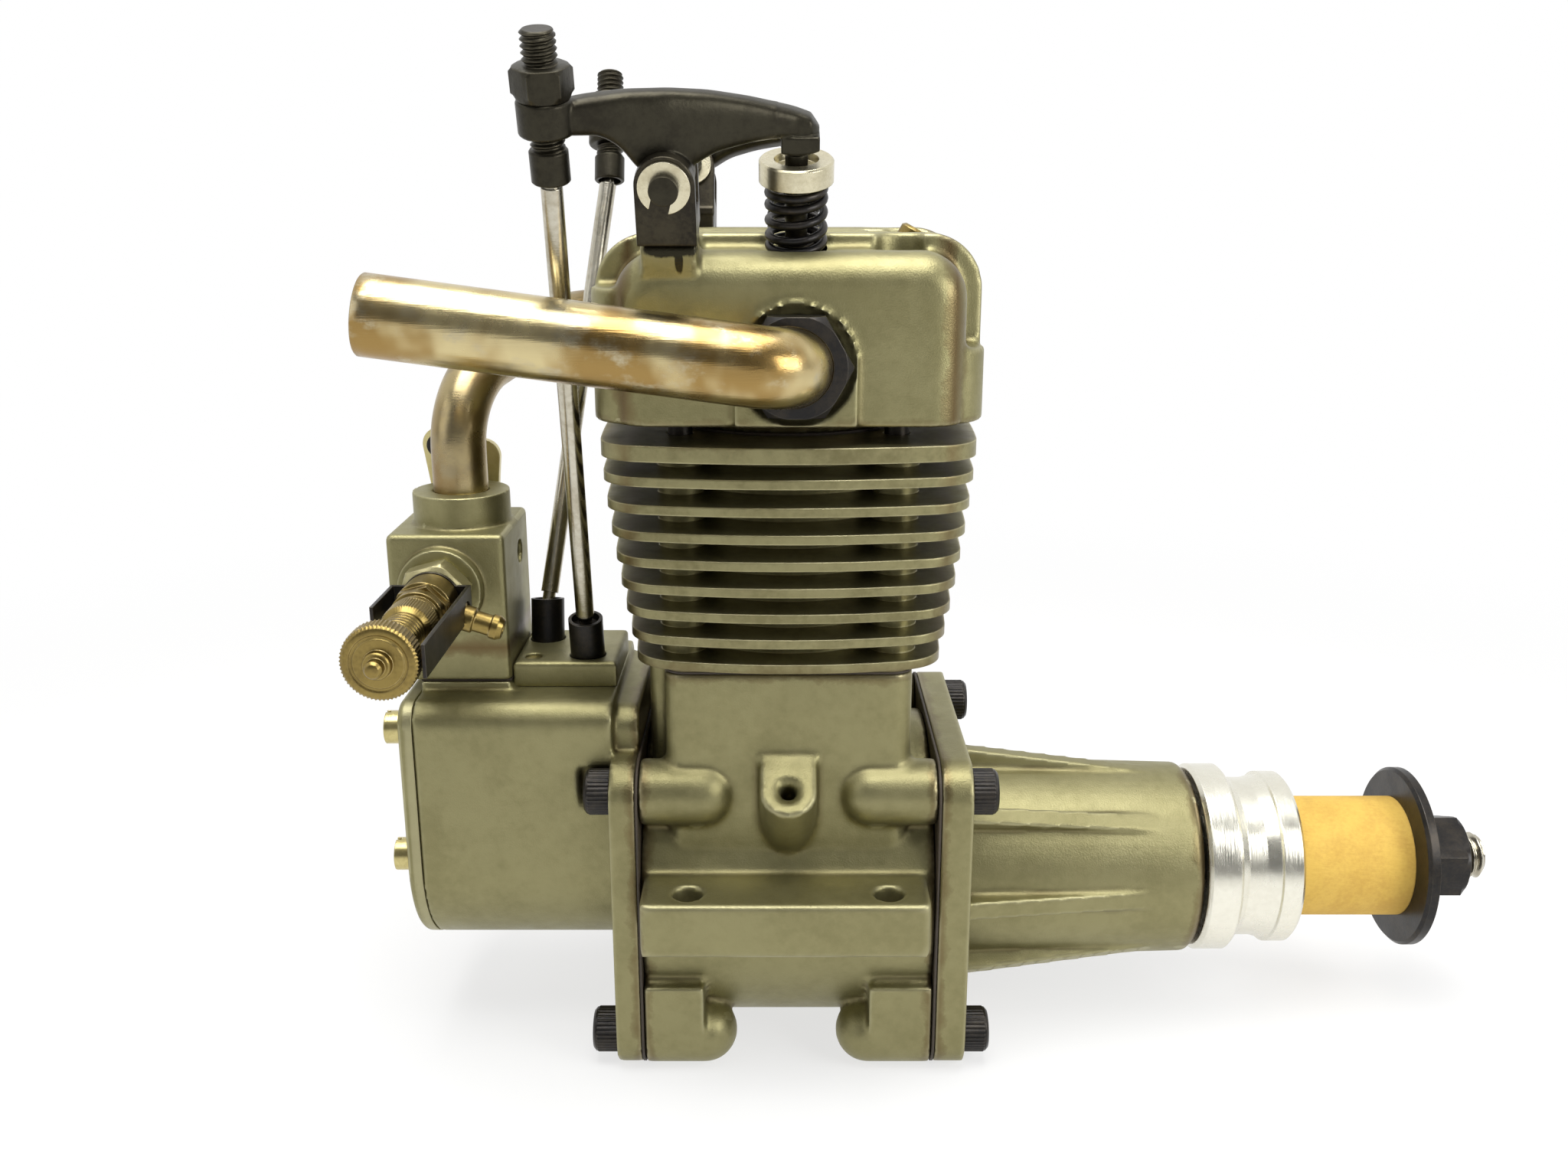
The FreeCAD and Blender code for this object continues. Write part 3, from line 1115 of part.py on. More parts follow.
def carb_body():
    body = block(CARB_REAR_X, CARB_FRONT_X, -CARB_HALF, CARB_HALF, CARB_BOTTOM + GASKET, CARB_TOP)
    body = round_edges(body, 0.7, lambda edge: edge.CenterOfMass.z > CARB_BOTTOM + 1)
    body = body.fuse(rod(V(CARB_BOSS_X, 0, CARB_TOP - 1), Z_AXIS, CARB_BOSS_R, CARB_BOSS_TOP - CARB_TOP + 1))
    body = body.fuse(rod(V(AXIS_X, -CARB_HALF - NEEDLE_BOSS, AXIS_Z), Y_AXIS, NEEDLE_BOSS_R,
                         NEEDLE_BOSS + 1)).removeSplitter()
    inner_wall = -CARB_HALF + 1.5
    cuts = [rod(V(AXIS_X, inner_wall, AXIS_Z), Y_AXIS, BARREL_BORE_R, 2 * CARB_HALF),
            rod(V(CARB_BOSS_X, 0, CARB_SEAT_Z), Z_AXIS, INTAKE_R + SEAT, 10),
            rod(V(CARB_BOSS_X, 0, AXIS_Z), Z_AXIS, BARREL_PASSAGE_R, 10),
            rod(V(CARB_REAR_X - 1, 0, AXIS_Z), X_AXIS, INLET_R, AXIS_X - CARB_REAR_X),
            rod(V(CARB_FRONT_X + 1, 2, AXIS_Z + 2), X_AXIS * -1, BALANCE_HOLE_R, 3.5),
            rod(V(AXIS_X, -CARB_HALF - NEEDLE_BOSS - 1, AXIS_Z), Y_AXIS, 2.0 + SEAT, 6)]
    for cut in cuts:
        body = body.cut(cut)
    return body


def throttle_barrel():
    near_end = -CARB_HALF + 1.5 + SMALL_GAP
    drum = rod(V(AXIS_X, near_end, AXIS_Z), Y_AXIS, BARREL_BORE_R - RUN, CARB_HALF - near_end)
    spindle = rod(V(AXIS_X, CARB_HALF, AXIS_Z), Y_AXIS, 1.6, ARM_Y + ARM_THICK + 0.8 - CARB_HALF)
    drum = drum.fuse(spindle)
    drum = drum.cut(rod(V(AXIS_X, 0, AXIS_Z), Z_AXIS, BARREL_PASSAGE_R, 10))
    drum = drum.cut(rod(V(AXIS_X, 0, AXIS_Z), X_AXIS * -1, BARREL_PASSAGE_R, 10))
    return drum.cut(rod(V(AXIS_X, near_end - 1, AXIS_Z), Y_AXIS, 2.1, 5)).removeSplitter()


def tangent_bar(a, radius_a, b, radius_b, y0, thick):
    """Flat bar with round ends, its sides tangent to both end circles."""
    along = b - a
    angle = math.atan2(along.z, along.x)
    spread = math.acos((radius_a - radius_b) / along.Length)
    outline = []
    for centre, radius, sign in ((a, radius_a, 1), (b, radius_b, 1), (b, radius_b, -1), (a, radius_a, -1)):
        outline.append(V(centre.x + radius * math.cos(angle + sign * spread), y0,
                         centre.z + radius * math.sin(angle + sign * spread)))
    bar = Part.Face(Part.makePolygon(outline + [outline[0]])).extrude(V(0, thick, 0))
    for centre, radius in ((a, radius_a), (b, radius_b)):
        bar = bar.fuse(rod(V(centre.x, y0, centre.z), Y_AXIS, radius, thick))
    return bar


def throttle_arm():
    hub = V(AXIS_X, 0, AXIS_Z)
    bars = [tangent_bar(hub, ARM_HUB_R, ARM_LINK, ARM_END_R, ARM_Y, ARM_THICK),
            tangent_bar(hub, ARM_HUB_R, ARM_SHOULDER, ARM_END_R, ARM_Y, ARM_THICK),
            tangent_bar(ARM_LINK, ARM_END_R, ARM_SHOULDER, ARM_END_R - 0.001, ARM_Y, ARM_THICK)]
    arm = join(bars)
    arm = arm.cut(rod(V(AXIS_X, ARM_Y - 1, AXIS_Z), Y_AXIS, 1.6 + SEAT, ARM_THICK + 2))
    return arm.cut(rod(V(ARM_LINK.x, ARM_Y - 1, ARM_LINK.z), Y_AXIS, 0.9 + SEAT, ARM_THICK + 2))


def throttle_link():
    """Swivel screw on the throttle arm that takes the control rod."""
    start = V(ARM_LINK.x, ARM_Y - 0.9, ARM_LINK.z)
    swivel = rod(V(ARM_LINK.x, ARM_Y + ARM_THICK, ARM_LINK.z), Y_AXIS, 1.9, 3.4)
    swivel = swivel.fuse(rod(start, Y_AXIS, 0.9, 3)).fuse(rod(start, Y_AXIS, 1.5, 0.9))
    return swivel.cut(rod(V(ARM_LINK.x - 5, ARM_Y + ARM_THICK + 1.8, ARM_LINK.z), X_AXIS, 0.7, 10))


def needle_body():
    """Brass spray body that screws into the front of the carburettor."""
    start_y = -CARB_HALF + 1.5 - SMALL_GAP
    body = turned(V(AXIS_X, 0, AXIS_Z), Y_AXIS * -1, [
        (-start_y, 2.0), (CARB_HALF + NEEDLE_BOSS, 2.0), (CARB_HALF + NEEDLE_BOSS + CLAMP, 2.0),
        (CARB_HALF + NEEDLE_BOSS + CLAMP + RATCHET_THICK, 2.0),
        (CARB_HALF + NEEDLE_BOSS + CLAMP + RATCHET_THICK, SPRAY_R), (-SPRAY_END_Y - 2.6, SPRAY_R),
        (-SPRAY_END_Y - 2.0, 2.7), (-SPRAY_END_Y, 2.7)])
    body = body.cut(rod(V(AXIS_X, -12, AXIS_Z), Y_AXIS * -1, 1.1, 20))
    seat = rod(V(AXIS_X, NIPPLE_Y, AXIS_Z), nipple_axis(), NIPPLE_R - 0.3 + SEAT, 8)
    return body.cut(seat)


def nipple_axis():
    tilt = math.radians(NIPPLE_TILT)
    return V(math.cos(tilt), 0, -math.sin(tilt))


def fuel_nipple():
    nipple = turned(V(AXIS_X, NIPPLE_Y, AXIS_Z), nipple_axis(), [
        (1.3, NIPPLE_R - 0.3), (SPRAY_R + 0.05, NIPPLE_R - 0.3), (SPRAY_R + 0.05, NIPPLE_LAND_R),
        (NIPPLE_LAND_END, NIPPLE_LAND_R), (NIPPLE_LAND_END, NIPPLE_R), (NIPPLE_REACH - 0.4, NIPPLE_R),
        (NIPPLE_REACH, NIPPLE_R - 0.3)])
    return nipple.cut(rod(V(AXIS_X, NIPPLE_Y, AXIS_Z), nipple_axis(), 0.6, NIPPLE_REACH + 1))


def needle_clamp():
    start = V(AXIS_X, -CARB_HALF - NEEDLE_BOSS, AXIS_Z)
    ring = turned(start, Y_AXIS * -1, [(0, CLAMP_R), (CLAMP - 0.7, CLAMP_R), (CLAMP, CLAMP_R - 0.7)])
    return ring.cut(rod(start + Y_AXIS, Y_AXIS * -1, 2.0 + SEAT, CLAMP + 2))


def needle_ratchet():
    """Spring clip: a flat ring under the spray body with two arms that reach forward to the knob."""
    ring_y = -CARB_HALF - NEEDLE_BOSS - CLAMP
    arm_x = KNOB_R + 0.15
    reach = KNOB_Y - KNOB_THICK * 0.7
    half = RATCHET_WIDTH / 2
    cross = block(AXIS_X - arm_x - RATCHET_THICK, AXIS_X + arm_x + RATCHET_THICK, ring_y - RATCHET_THICK,
                  ring_y, AXIS_Z - half, AXIS_Z + half)
    arms = [block(AXIS_X + arm_x, AXIS_X + arm_x + RATCHET_THICK, reach, ring_y, AXIS_Z - half,
                  AXIS_Z + half),
            block(AXIS_X - arm_x - RATCHET_THICK, AXIS_X - arm_x, ring_y - 9, ring_y, AXIS_Z - half,
                  AXIS_Z + half)]
    clip = join([cross, rod(V(AXIS_X, ring_y, AXIS_Z), Y_AXIS * -1, 3.4, RATCHET_THICK)] + arms)
    clip = clip.cut(rod(V(AXIS_X, ring_y + 1, AXIS_Z), Y_AXIS * -1, 2.0 + SEAT, 3))
    gate = rod(V(AXIS_X, NIPPLE_Y, AXIS_Z), nipple_axis(), NIPPLE_R + 0.5, 10)
    return clip.cut(gate)


def needle_valve():
    """Needle with its screwed sleeve and knurled brass knob."""
    stem = rod(V(AXIS_X, -13, AXIS_Z), Y_AXIS * -1, 1.1 - RUN, -13 - NEEDLE_END_Y)
    sleeve = turned(V(AXIS_X, 0, AXIS_Z), Y_AXIS * -1, [
        (-SPRAY_END_Y + 0.2, 2.9), (-SPRAY_END_Y + 3.4, 2.9), (-SPRAY_END_Y + 4.0, 2.3),
        (-KNOB_Y + 0.1, 2.3)])
    knob = rod(V(AXIS_X, KNOB_Y, AXIS_Z), Y_AXIS * -1, KNOB_R, KNOB_THICK)
    for i in range(KNOB_NOTCHES):
        angle = 2 * math.pi * i / KNOB_NOTCHES
        middle = V(AXIS_X + KNOB_R * math.cos(angle), KNOB_Y + 1, AXIS_Z + KNOB_R * math.sin(angle))
        notch = block(-0.2, 0.2, 0, KNOB_THICK + 2, -0.2, 0.2)
        notch.rotate(ORIGIN, Y_AXIS, 45 - math.degrees(angle))
        notch.translate(middle - Y_AXIS * (KNOB_THICK + 2))
        knob = knob.cut(notch)
    hub = rod(V(AXIS_X, KNOB_Y - KNOB_THICK, AXIS_Z), Y_AXIS * -1, 1.5, 0.9)
    return join([stem, sleeve, knob, hub])


def tappet(side):
    """Mushroom tappet: a flat foot over the cam, a stem through the block and a cup for the pushrod."""
    foot_at = CAM_BASE_R + CAM_LIFT + TAPPET_GAP
    top_at = tappet_distance(TAPPET_TOP_Z)
    cup_at = tappet_distance(CAM_TOP + 0.2)
    profile = [(foot_at, TAPPET_FOOT_R), (foot_at + TAPPET_FOOT, TAPPET_FOOT_R),
               (foot_at + TAPPET_FOOT, TAPPET_STEM_R), (cup_at, TAPPET_STEM_R),
               (cup_at, TAPPET_CUP_R), (top_at, TAPPET_CUP_R)]
    body = turned(V(TAPPET_X[side], 0, CAM_Z), tappet_axis(), profile)
    body = body.cut(rod(tappet_point(side, top_at - TAPPET_CUP_DEEP), tappet_axis(), TAPPET_CUP_BORE, 3))
    return side_of(body, side)


def pushrod_ends(side):
    """The two ball ends, drawn on the near side."""
    low = tappet_point(side, tappet_distance(TAPPET_TOP_Z) - TAPPET_CUP_DEEP + SMALL_GAP)
    high = leaned_point(ADJUSTER_X, ADJUSTER_ACROSS, COLLAR_BOTTOM + COLLAR_DEEP - SMALL_GAP)
    return low, high


def pushrod(side):
    low, high = pushrod_ends(side)
    axis = (high - low).normalize()
    length = (high - low).Length
    body = turned(low, axis, [
        (0, 0.4), (0.35, PUSHROD_NECK_R), (PUSHROD_NECK, PUSHROD_NECK_R), (PUSHROD_NECK, PUSHROD_R),
        (length - PUSHROD_NECK, PUSHROD_R), (length - PUSHROD_NECK, PUSHROD_NECK_R),
        (length - 0.35, PUSHROD_NECK_R), (length, 0.4)])
    return side_of(body, side)


def rocker_side_face():
    """Side outline of the rocker: arched back, pivot hub and curved pad over the valve."""
    tip_x = VALVE_X + PAD_FRONT
    back = Part.Arc(V(ADJUSTER_X, 0, EYE_TOP - 0.1), V(ROCKER_BACK_X, 0, ROCKER_BACK),
                    V(tip_x - 0.6, 0, ROCKER_TIP_TOP)).toShape()
    nose = Part.makeLine(V(tip_x - 0.6, 0, ROCKER_TIP_TOP), V(tip_x, 0, ROCKER_TIP_LOW))
    pad_rear = VALVE_X - PAD_REAR
    pad_rise = PAD_CURVE_R - math.sqrt(PAD_CURVE_R ** 2 - PAD_FRONT ** 2)
    rear_rise = PAD_CURVE_R - math.sqrt(PAD_CURVE_R ** 2 - PAD_REAR ** 2)
    start = V(tip_x, 0, PAD_BOTTOM + pad_rise)
    drop = Part.makeLine(V(tip_x, 0, ROCKER_TIP_LOW), start)
    pad = Part.Arc(start, V(VALVE_X, 0, PAD_BOTTOM), V(pad_rear, 0, PAD_BOTTOM + rear_rise)).toShape()
    belly = [V(pad_rear, 0, PAD_BOTTOM + rear_rise), V(pad_rear, 0, ROCKER_BELLY_FRONT + 0.2),
             V(pad_rear - 3.0, 0, ROCKER_BELLY_FRONT), V(PIVOT_X + 5.0, 0, PIVOT_ALONG + 2.0),
             V(PIVOT_X + 2.4, 0, PIVOT_ALONG), V(PIVOT_X - 2.4, 0, PIVOT_ALONG),
             V(PIVOT_X - 3.6, 0, ROCKER_BELLY_REAR), V(PIVOT_X - 6.0, 0, EYE_BOTTOM - 0.6),
             V(ADJUSTER_X, 0, EYE_BOTTOM)]
    lines = [Part.makeLine(belly[i], belly[i + 1]) for i in range(len(belly) - 1)]
    close = Part.makeLine(belly[-1], V(ADJUSTER_X, 0, EYE_TOP - 0.1))
    return Part.Face(Part.Wire([back, nose, drop, pad] + lines + [close]))


def rocker_plan_face():
    """Plan outline: narrow between the bracket's ears and splayed towards the two ends."""
    half = ROCKER_HUB / 2
    outline = [V(PIVOT_X - 3.3, PIVOT_ACROSS - half, 0), V(PIVOT_X + 3.3, PIVOT_ACROSS - half, 0),
               V(-1.2, VALVE_ACROSS - 1.9, 0), V(4.0, VALVE_ACROSS - 1.6, 0),
               V(4.0, VALVE_ACROSS + 1.6, 0), V(-2.6, VALVE_ACROSS + 1.6, 0),
               V(PIVOT_X + 3.3, PIVOT_ACROSS + half, 0), V(PIVOT_X - 3.3, PIVOT_ACROSS + half, 0),
               V(ADJUSTER_X + 1.0, ADJUSTER_ACROSS + 2.2, 0), V(ADJUSTER_X - 0.5, ADJUSTER_ACROSS, 0),
               V(ADJUSTER_X + 1.0, ADJUSTER_ACROSS - 2.0, 0)]
    return Part.Face(Part.makePolygon(outline + [outline[0]]))


def rocker(side):
    arm = rocker_side_face().extrude(V(0, 30, 0))
    plan = rocker_plan_face().extrude(V(0, 0, 30))
    plan.translate(V(0, 0, 80))
    arm = arm.common(plan)
    hub = rod(V(PIVOT_X, PIVOT_ACROSS - ROCKER_HUB / 2, PIVOT_ALONG), Y_AXIS, ROCKER_HUB_R, ROCKER_HUB)
    eye = rod(V(ADJUSTER_X, ADJUSTER_ACROSS, EYE_BOTTOM), Z_AXIS, EYE_R, EYE_TOP - EYE_BOTTOM)
    body = join([arm, hub, eye])
    body = body.cut(rod(V(PIVOT_X, PIVOT_ACROSS - 5, PIVOT_ALONG), Y_AXIS, PIVOT_R + RUN, 10))
    body = body.cut(rod(V(ADJUSTER_X, ADJUSTER_ACROSS, 80), Z_AXIS, ADJUSTER_R + SEAT, 30))
    return side_of(lean(body), side)


def adjuster(side):
    """Adjusting screw with its cup for the pushrod, and the lock nut on top of the rocker's eye."""
    foot = V(ADJUSTER_X, ADJUSTER_ACROSS, 0)
    screw = turned(foot, Z_AXIS, [
        (COLLAR_BOTTOM, COLLAR_R), (COLLAR_TOP, COLLAR_R), (COLLAR_TOP, ADJUSTER_R),
        (ADJUSTER_TOP - 0.4, ADJUSTER_R), (ADJUSTER_TOP, ADJUSTER_R - 0.4)])
    screw = screw.cut(rod(foot + Z_AXIS * (COLLAR_BOTTOM - 1), Z_AXIS, COLLAR_BORE, COLLAR_DEEP + 1))
    screw = screw.cut(block(ADJUSTER_X - 3, ADJUSTER_X + 3, ADJUSTER_ACROSS - 0.35, ADJUSTER_ACROSS + 0.35,
                            ADJUSTER_TOP - 1.2, ADJUSTER_TOP + 1))
    nut = hexagon(foot + Z_AXIS * EYE_TOP, Z_AXIS, LOCK_NUT_AF, LOCK_NUT)
    nut = nut.cut(rod(foot + Z_AXIS * EYE_TOP, Z_AXIS, ADJUSTER_R + SEAT, LOCK_NUT + 1))
    return [side_of(lean(piece), side) for piece in (screw, nut)]


def valve(side):
    body = turned(V(VALVE_X, VALVE_ACROSS, 0), Z_AXIS, [
        (VALVE_SEAT - 0.9, VALVE_HEAD_R - 0.1), (VALVE_SEAT, VALVE_HEAD_R),
        (VALVE_SEAT + 1.2, VALVE_HEAD_R - 1.2), (VALVE_SEAT + 1.9, 2.0),
        (VALVE_SEAT + 3.4, VALVE_STEM_R), (VALVE_TIP - 0.2, VALVE_STEM_R), (VALVE_TIP, VALVE_STEM_R - 0.2)])
    return side_of(lean(body), side)


def spring_retainer(side):
    cap = turned(V(VALVE_X, VALVE_ACROSS, 0), Z_AXIS, [
        (RETAINER_BOTTOM - 0.6, SPRING_R - 2 * SPRING_WIRE_R - 0.1),
        (RETAINER_BOTTOM, SPRING_R - 2 * SPRING_WIRE_R - 0.1), (RETAINER_BOTTOM, RETAINER_R),
        (RETAINER_TOP - 0.2, RETAINER_R), (RETAINER_TOP, RETAINER_R - 0.2)])
    cap = cap.cut(turned(V(VALVE_X, VALVE_ACROSS, 0), Z_AXIS, [
        (RETAINER_TOP - 0.8, 2.2), (RETAINER_TOP + 1, 2.6)]))
    cap = cap.cut(rod(V(VALVE_X, VALVE_ACROSS, 80), Z_AXIS, VALVE_STEM_R + SEAT, 12))
    return side_of(lean(cap), side)


def valve_spring(side):
    """Coil spring between the head and the retainer, with wire centres just inside both seats."""
    mean_r = SPRING_R - SPRING_WIRE_R
    bottom = SPRING_SEAT + SPRING_WIRE_R + 0.02
    height = RETAINER_BOTTOM - SPRING_WIRE_R - 0.02 - bottom
    helix = Part.makeHelix(height / SPRING_COILS, height, mean_r)
    section = Part.Wire([Part.makeCircle(SPRING_WIRE_R, V(mean_r, 0, 0), Y_AXIS)])
    coil = Part.Wire(helix).makePipeShell([section], True, True)
    coil.translate(V(VALVE_X, VALVE_ACROSS, bottom))
    return side_of(lean(coil), side)


def valve_guides():
    guide = tube(V(VALVE_X, VALVE_ACROSS, GUIDE_BOTTOM), Z_AXIS, GUIDE_R, VALVE_STEM_R + RUN,
                 GUIDE_TOP - GUIDE_BOTTOM)
    return both_sides(lean(guide))


def rocker_brackets():
    body = block(PIVOT_X - BRACKET_HALF_X, PIVOT_X + BRACKET_HALF_X, PIVOT_ACROSS - BRACKET_HALF,
                 PIVOT_ACROSS + BRACKET_HALF, BRACKET_BOTTOM, PIVOT_ALONG)
    crown = rod(V(PIVOT_X, PIVOT_ACROSS - BRACKET_HALF, PIVOT_ALONG), Y_AXIS, BRACKET_HALF_X,
                2 * BRACKET_HALF)
    stud = rod(V(PIVOT_X, PIVOT_ACROSS, BRACKET_STUD_END), Z_AXIS, BRACKET_STUD_R,
               BRACKET_BOTTOM - BRACKET_STUD_END + 1)
    body = join([body, crown, stud])
    body = body.cut(block(PIVOT_X - 5, PIVOT_X + 5, PIVOT_ACROSS - BRACKET_GAP / 2,
                          PIVOT_ACROSS + BRACKET_GAP / 2, BRACKET_SLOT_BOTTOM, PIVOT_ALONG + 5))
    body = body.cut(rod(V(PIVOT_X, PIVOT_ACROSS - 6, PIVOT_ALONG), Y_AXIS, PIVOT_R + SEAT, 12))
    return both_sides(lean(body))


def clip_starts():
    return (PIVOT_ACROSS - BRACKET_HALF - CLIP_THICK - 0.05, PIVOT_ACROSS + BRACKET_HALF + 0.05)


def rocker_pins():
    reach = BRACKET_HALF + CLIP_THICK + 0.9
    pin = rod(V(PIVOT_X, PIVOT_ACROSS - reach, PIVOT_ALONG), Y_AXIS, PIVOT_R, 2 * reach)
    for start in clip_starts():
        pin = pin.cut(tube(V(PIVOT_X, start - 0.02, PIVOT_ALONG), Y_AXIS, PIVOT_R + 1, CLIP_GROOVE_R,
                           CLIP_THICK + 0.04))
    return both_sides(lean(pin))


def rocker_clips():
    clips = []
    for start in clip_starts():
        ring = tube(V(PIVOT_X, start, PIVOT_ALONG), Y_AXIS, CLIP_R, CLIP_GROOVE_R + SEAT, CLIP_THICK)
        mouth = block(-1.0, 1.0, start - 1, start + CLIP_THICK + 1, -4, 0)
        mouth.rotate(ORIGIN, Y_AXIS, 15)
        mouth.translate(V(PIVOT_X, 0, PIVOT_ALONG))
        clips += both_sides(lean(ring.cut(mouth)))
    return clips


def save(name, shape):
    solids = shape if isinstance(shape, list) else [shape]
    pieces = [solid for item in solids for solid in item.Solids]
    whole = pieces[0] if len(pieces) == 1 else Part.makeCompound(pieces)
    whole.exportStep(os.path.join("parts", name + ".step"))


FIXED = [crankcase, case_gaskets, case_screws, nose_housing, shaft_bearings, crankshaft, prop_driver,
         spacer_tube, prop_washer, prop_nut, cam_housing, rear_bush, cam_cover, small_screws, tappet_block,
         drive_shaft, camshaft, cam_gear, piston, piston_ring, wrist_pin, connecting_rod, crankpin,
         cylinder, cylinder_liner, cylinder_gaskets, head_bolts, cylinder_head, glow_plug, exhaust_pipe,
         intake_pipe, pipe_nuts, carb_gasket, carb_body, throttle_barrel, throttle_arm, throttle_link,
         needle_body, fuel_nipple, needle_clamp, needle_ratchet, needle_valve, valve_guides,
         rocker_brackets, rocker_pins, rocker_clips]
PER_SIDE = [tappet, pushrod, rocker, adjuster, valve, spring_retainer, valve_spring]

os.makedirs("parts", exist_ok=True)
for make in FIXED:
    save(make.__name__, make())
for make in PER_SIDE:
    for side, word in ((NEAR, "exhaust"), (FAR, "intake")):
        save(word + "_" + make.__name__, make(side))
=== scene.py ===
"""Dresses a four-stroke model aircraft engine: finishes, threads, springs and rockers over its CAD frame."""

from __future__ import annotations

import logging
import math
from dataclasses import dataclass
from enum import Enum

import bmesh
import bpy
import numpy as np
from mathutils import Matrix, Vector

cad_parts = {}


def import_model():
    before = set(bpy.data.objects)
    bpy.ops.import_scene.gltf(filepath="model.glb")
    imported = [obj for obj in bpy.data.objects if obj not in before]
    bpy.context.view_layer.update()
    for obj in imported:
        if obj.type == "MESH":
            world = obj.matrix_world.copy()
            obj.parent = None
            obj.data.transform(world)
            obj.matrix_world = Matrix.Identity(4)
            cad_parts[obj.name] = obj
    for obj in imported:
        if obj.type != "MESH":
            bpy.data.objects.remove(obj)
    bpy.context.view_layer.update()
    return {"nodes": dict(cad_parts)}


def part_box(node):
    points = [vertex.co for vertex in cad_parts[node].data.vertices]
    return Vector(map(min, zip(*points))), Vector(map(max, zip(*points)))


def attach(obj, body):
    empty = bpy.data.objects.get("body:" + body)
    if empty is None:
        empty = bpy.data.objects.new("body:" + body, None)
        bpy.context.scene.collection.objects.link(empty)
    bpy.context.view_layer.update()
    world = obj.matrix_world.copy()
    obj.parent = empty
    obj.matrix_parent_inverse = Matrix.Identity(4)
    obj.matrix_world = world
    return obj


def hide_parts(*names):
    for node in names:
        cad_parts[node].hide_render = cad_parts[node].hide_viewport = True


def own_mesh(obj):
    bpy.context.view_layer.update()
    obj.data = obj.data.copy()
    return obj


LOG = logging.getLogger("engine")
MM = 0.001
SEAM = 0.002
GRAIN_HEIGHT = 0.12 * MM
OIL_BROWN = (0.105, 0.06, 0.022, 1.0)
# Black of the painted shadow under the near rocker bracket's foot.
FOOT_SHADOW_BLACK = (0.012, 0.01, 0.007, 1.0)
# Brown of the painted shade with dirt in a casting's inner corners.
CORNER_SHADE_AND_DIRT = (0.088, 0.062, 0.026, 1.0)
WHITE = (1.0, 1.0, 1.0, 1.0)
FLANGE_PLANES = ((0, -0.01765), (0, 0.01765), (2, 0.0314), (0, 0.0515), (2, 0.0595))
TURN = 2 * math.pi
LEAN = math.radians(20.0)
SIDES = {"exhaust": -1.0, "intake": 1.0}

Colour = tuple[float, float, float]
Vec = tuple[float, float, float]


class Section(Enum):
    """How the radius of a turned form changes round its axis."""

    ROUND = "round"
    HEXAGON = "hexagon"
    KNURL = "knurl"


class Grain(Enum):
    """The fine texture that a finish has."""

    SANDBLASTED = "sandblasted"
    TURNED = "turned"
    DRAWN = "drawn"
    FIBROUS = "fibrous"


# Shared node groups


def new_group(name: str, inputs: dict[str, tuple[str, object]],
              outputs: dict[str, str]) -> bpy.types.NodeTree:
    """Makes an empty shader node group with named sockets.

    Args:
        name: The group's name.
        inputs: Socket name to (socket type, default value).
        outputs: Socket name to socket type.

    Returns:
        The node tree, with its Group Input and Group Output nodes in place.
    """
    tree = bpy.data.node_groups.new(name, "ShaderNodeTree")
    for label, (kind, default) in inputs.items():
        socket = tree.interface.new_socket(name=label, in_out="INPUT", socket_type=kind)
        if default is not None:
            socket.default_value = default
    for label, kind in outputs.items():
        tree.interface.new_socket(name=label, in_out="OUTPUT", socket_type=kind)
    tree.nodes.new("NodeGroupInput")
    tree.nodes.new("NodeGroupOutput")
    return tree


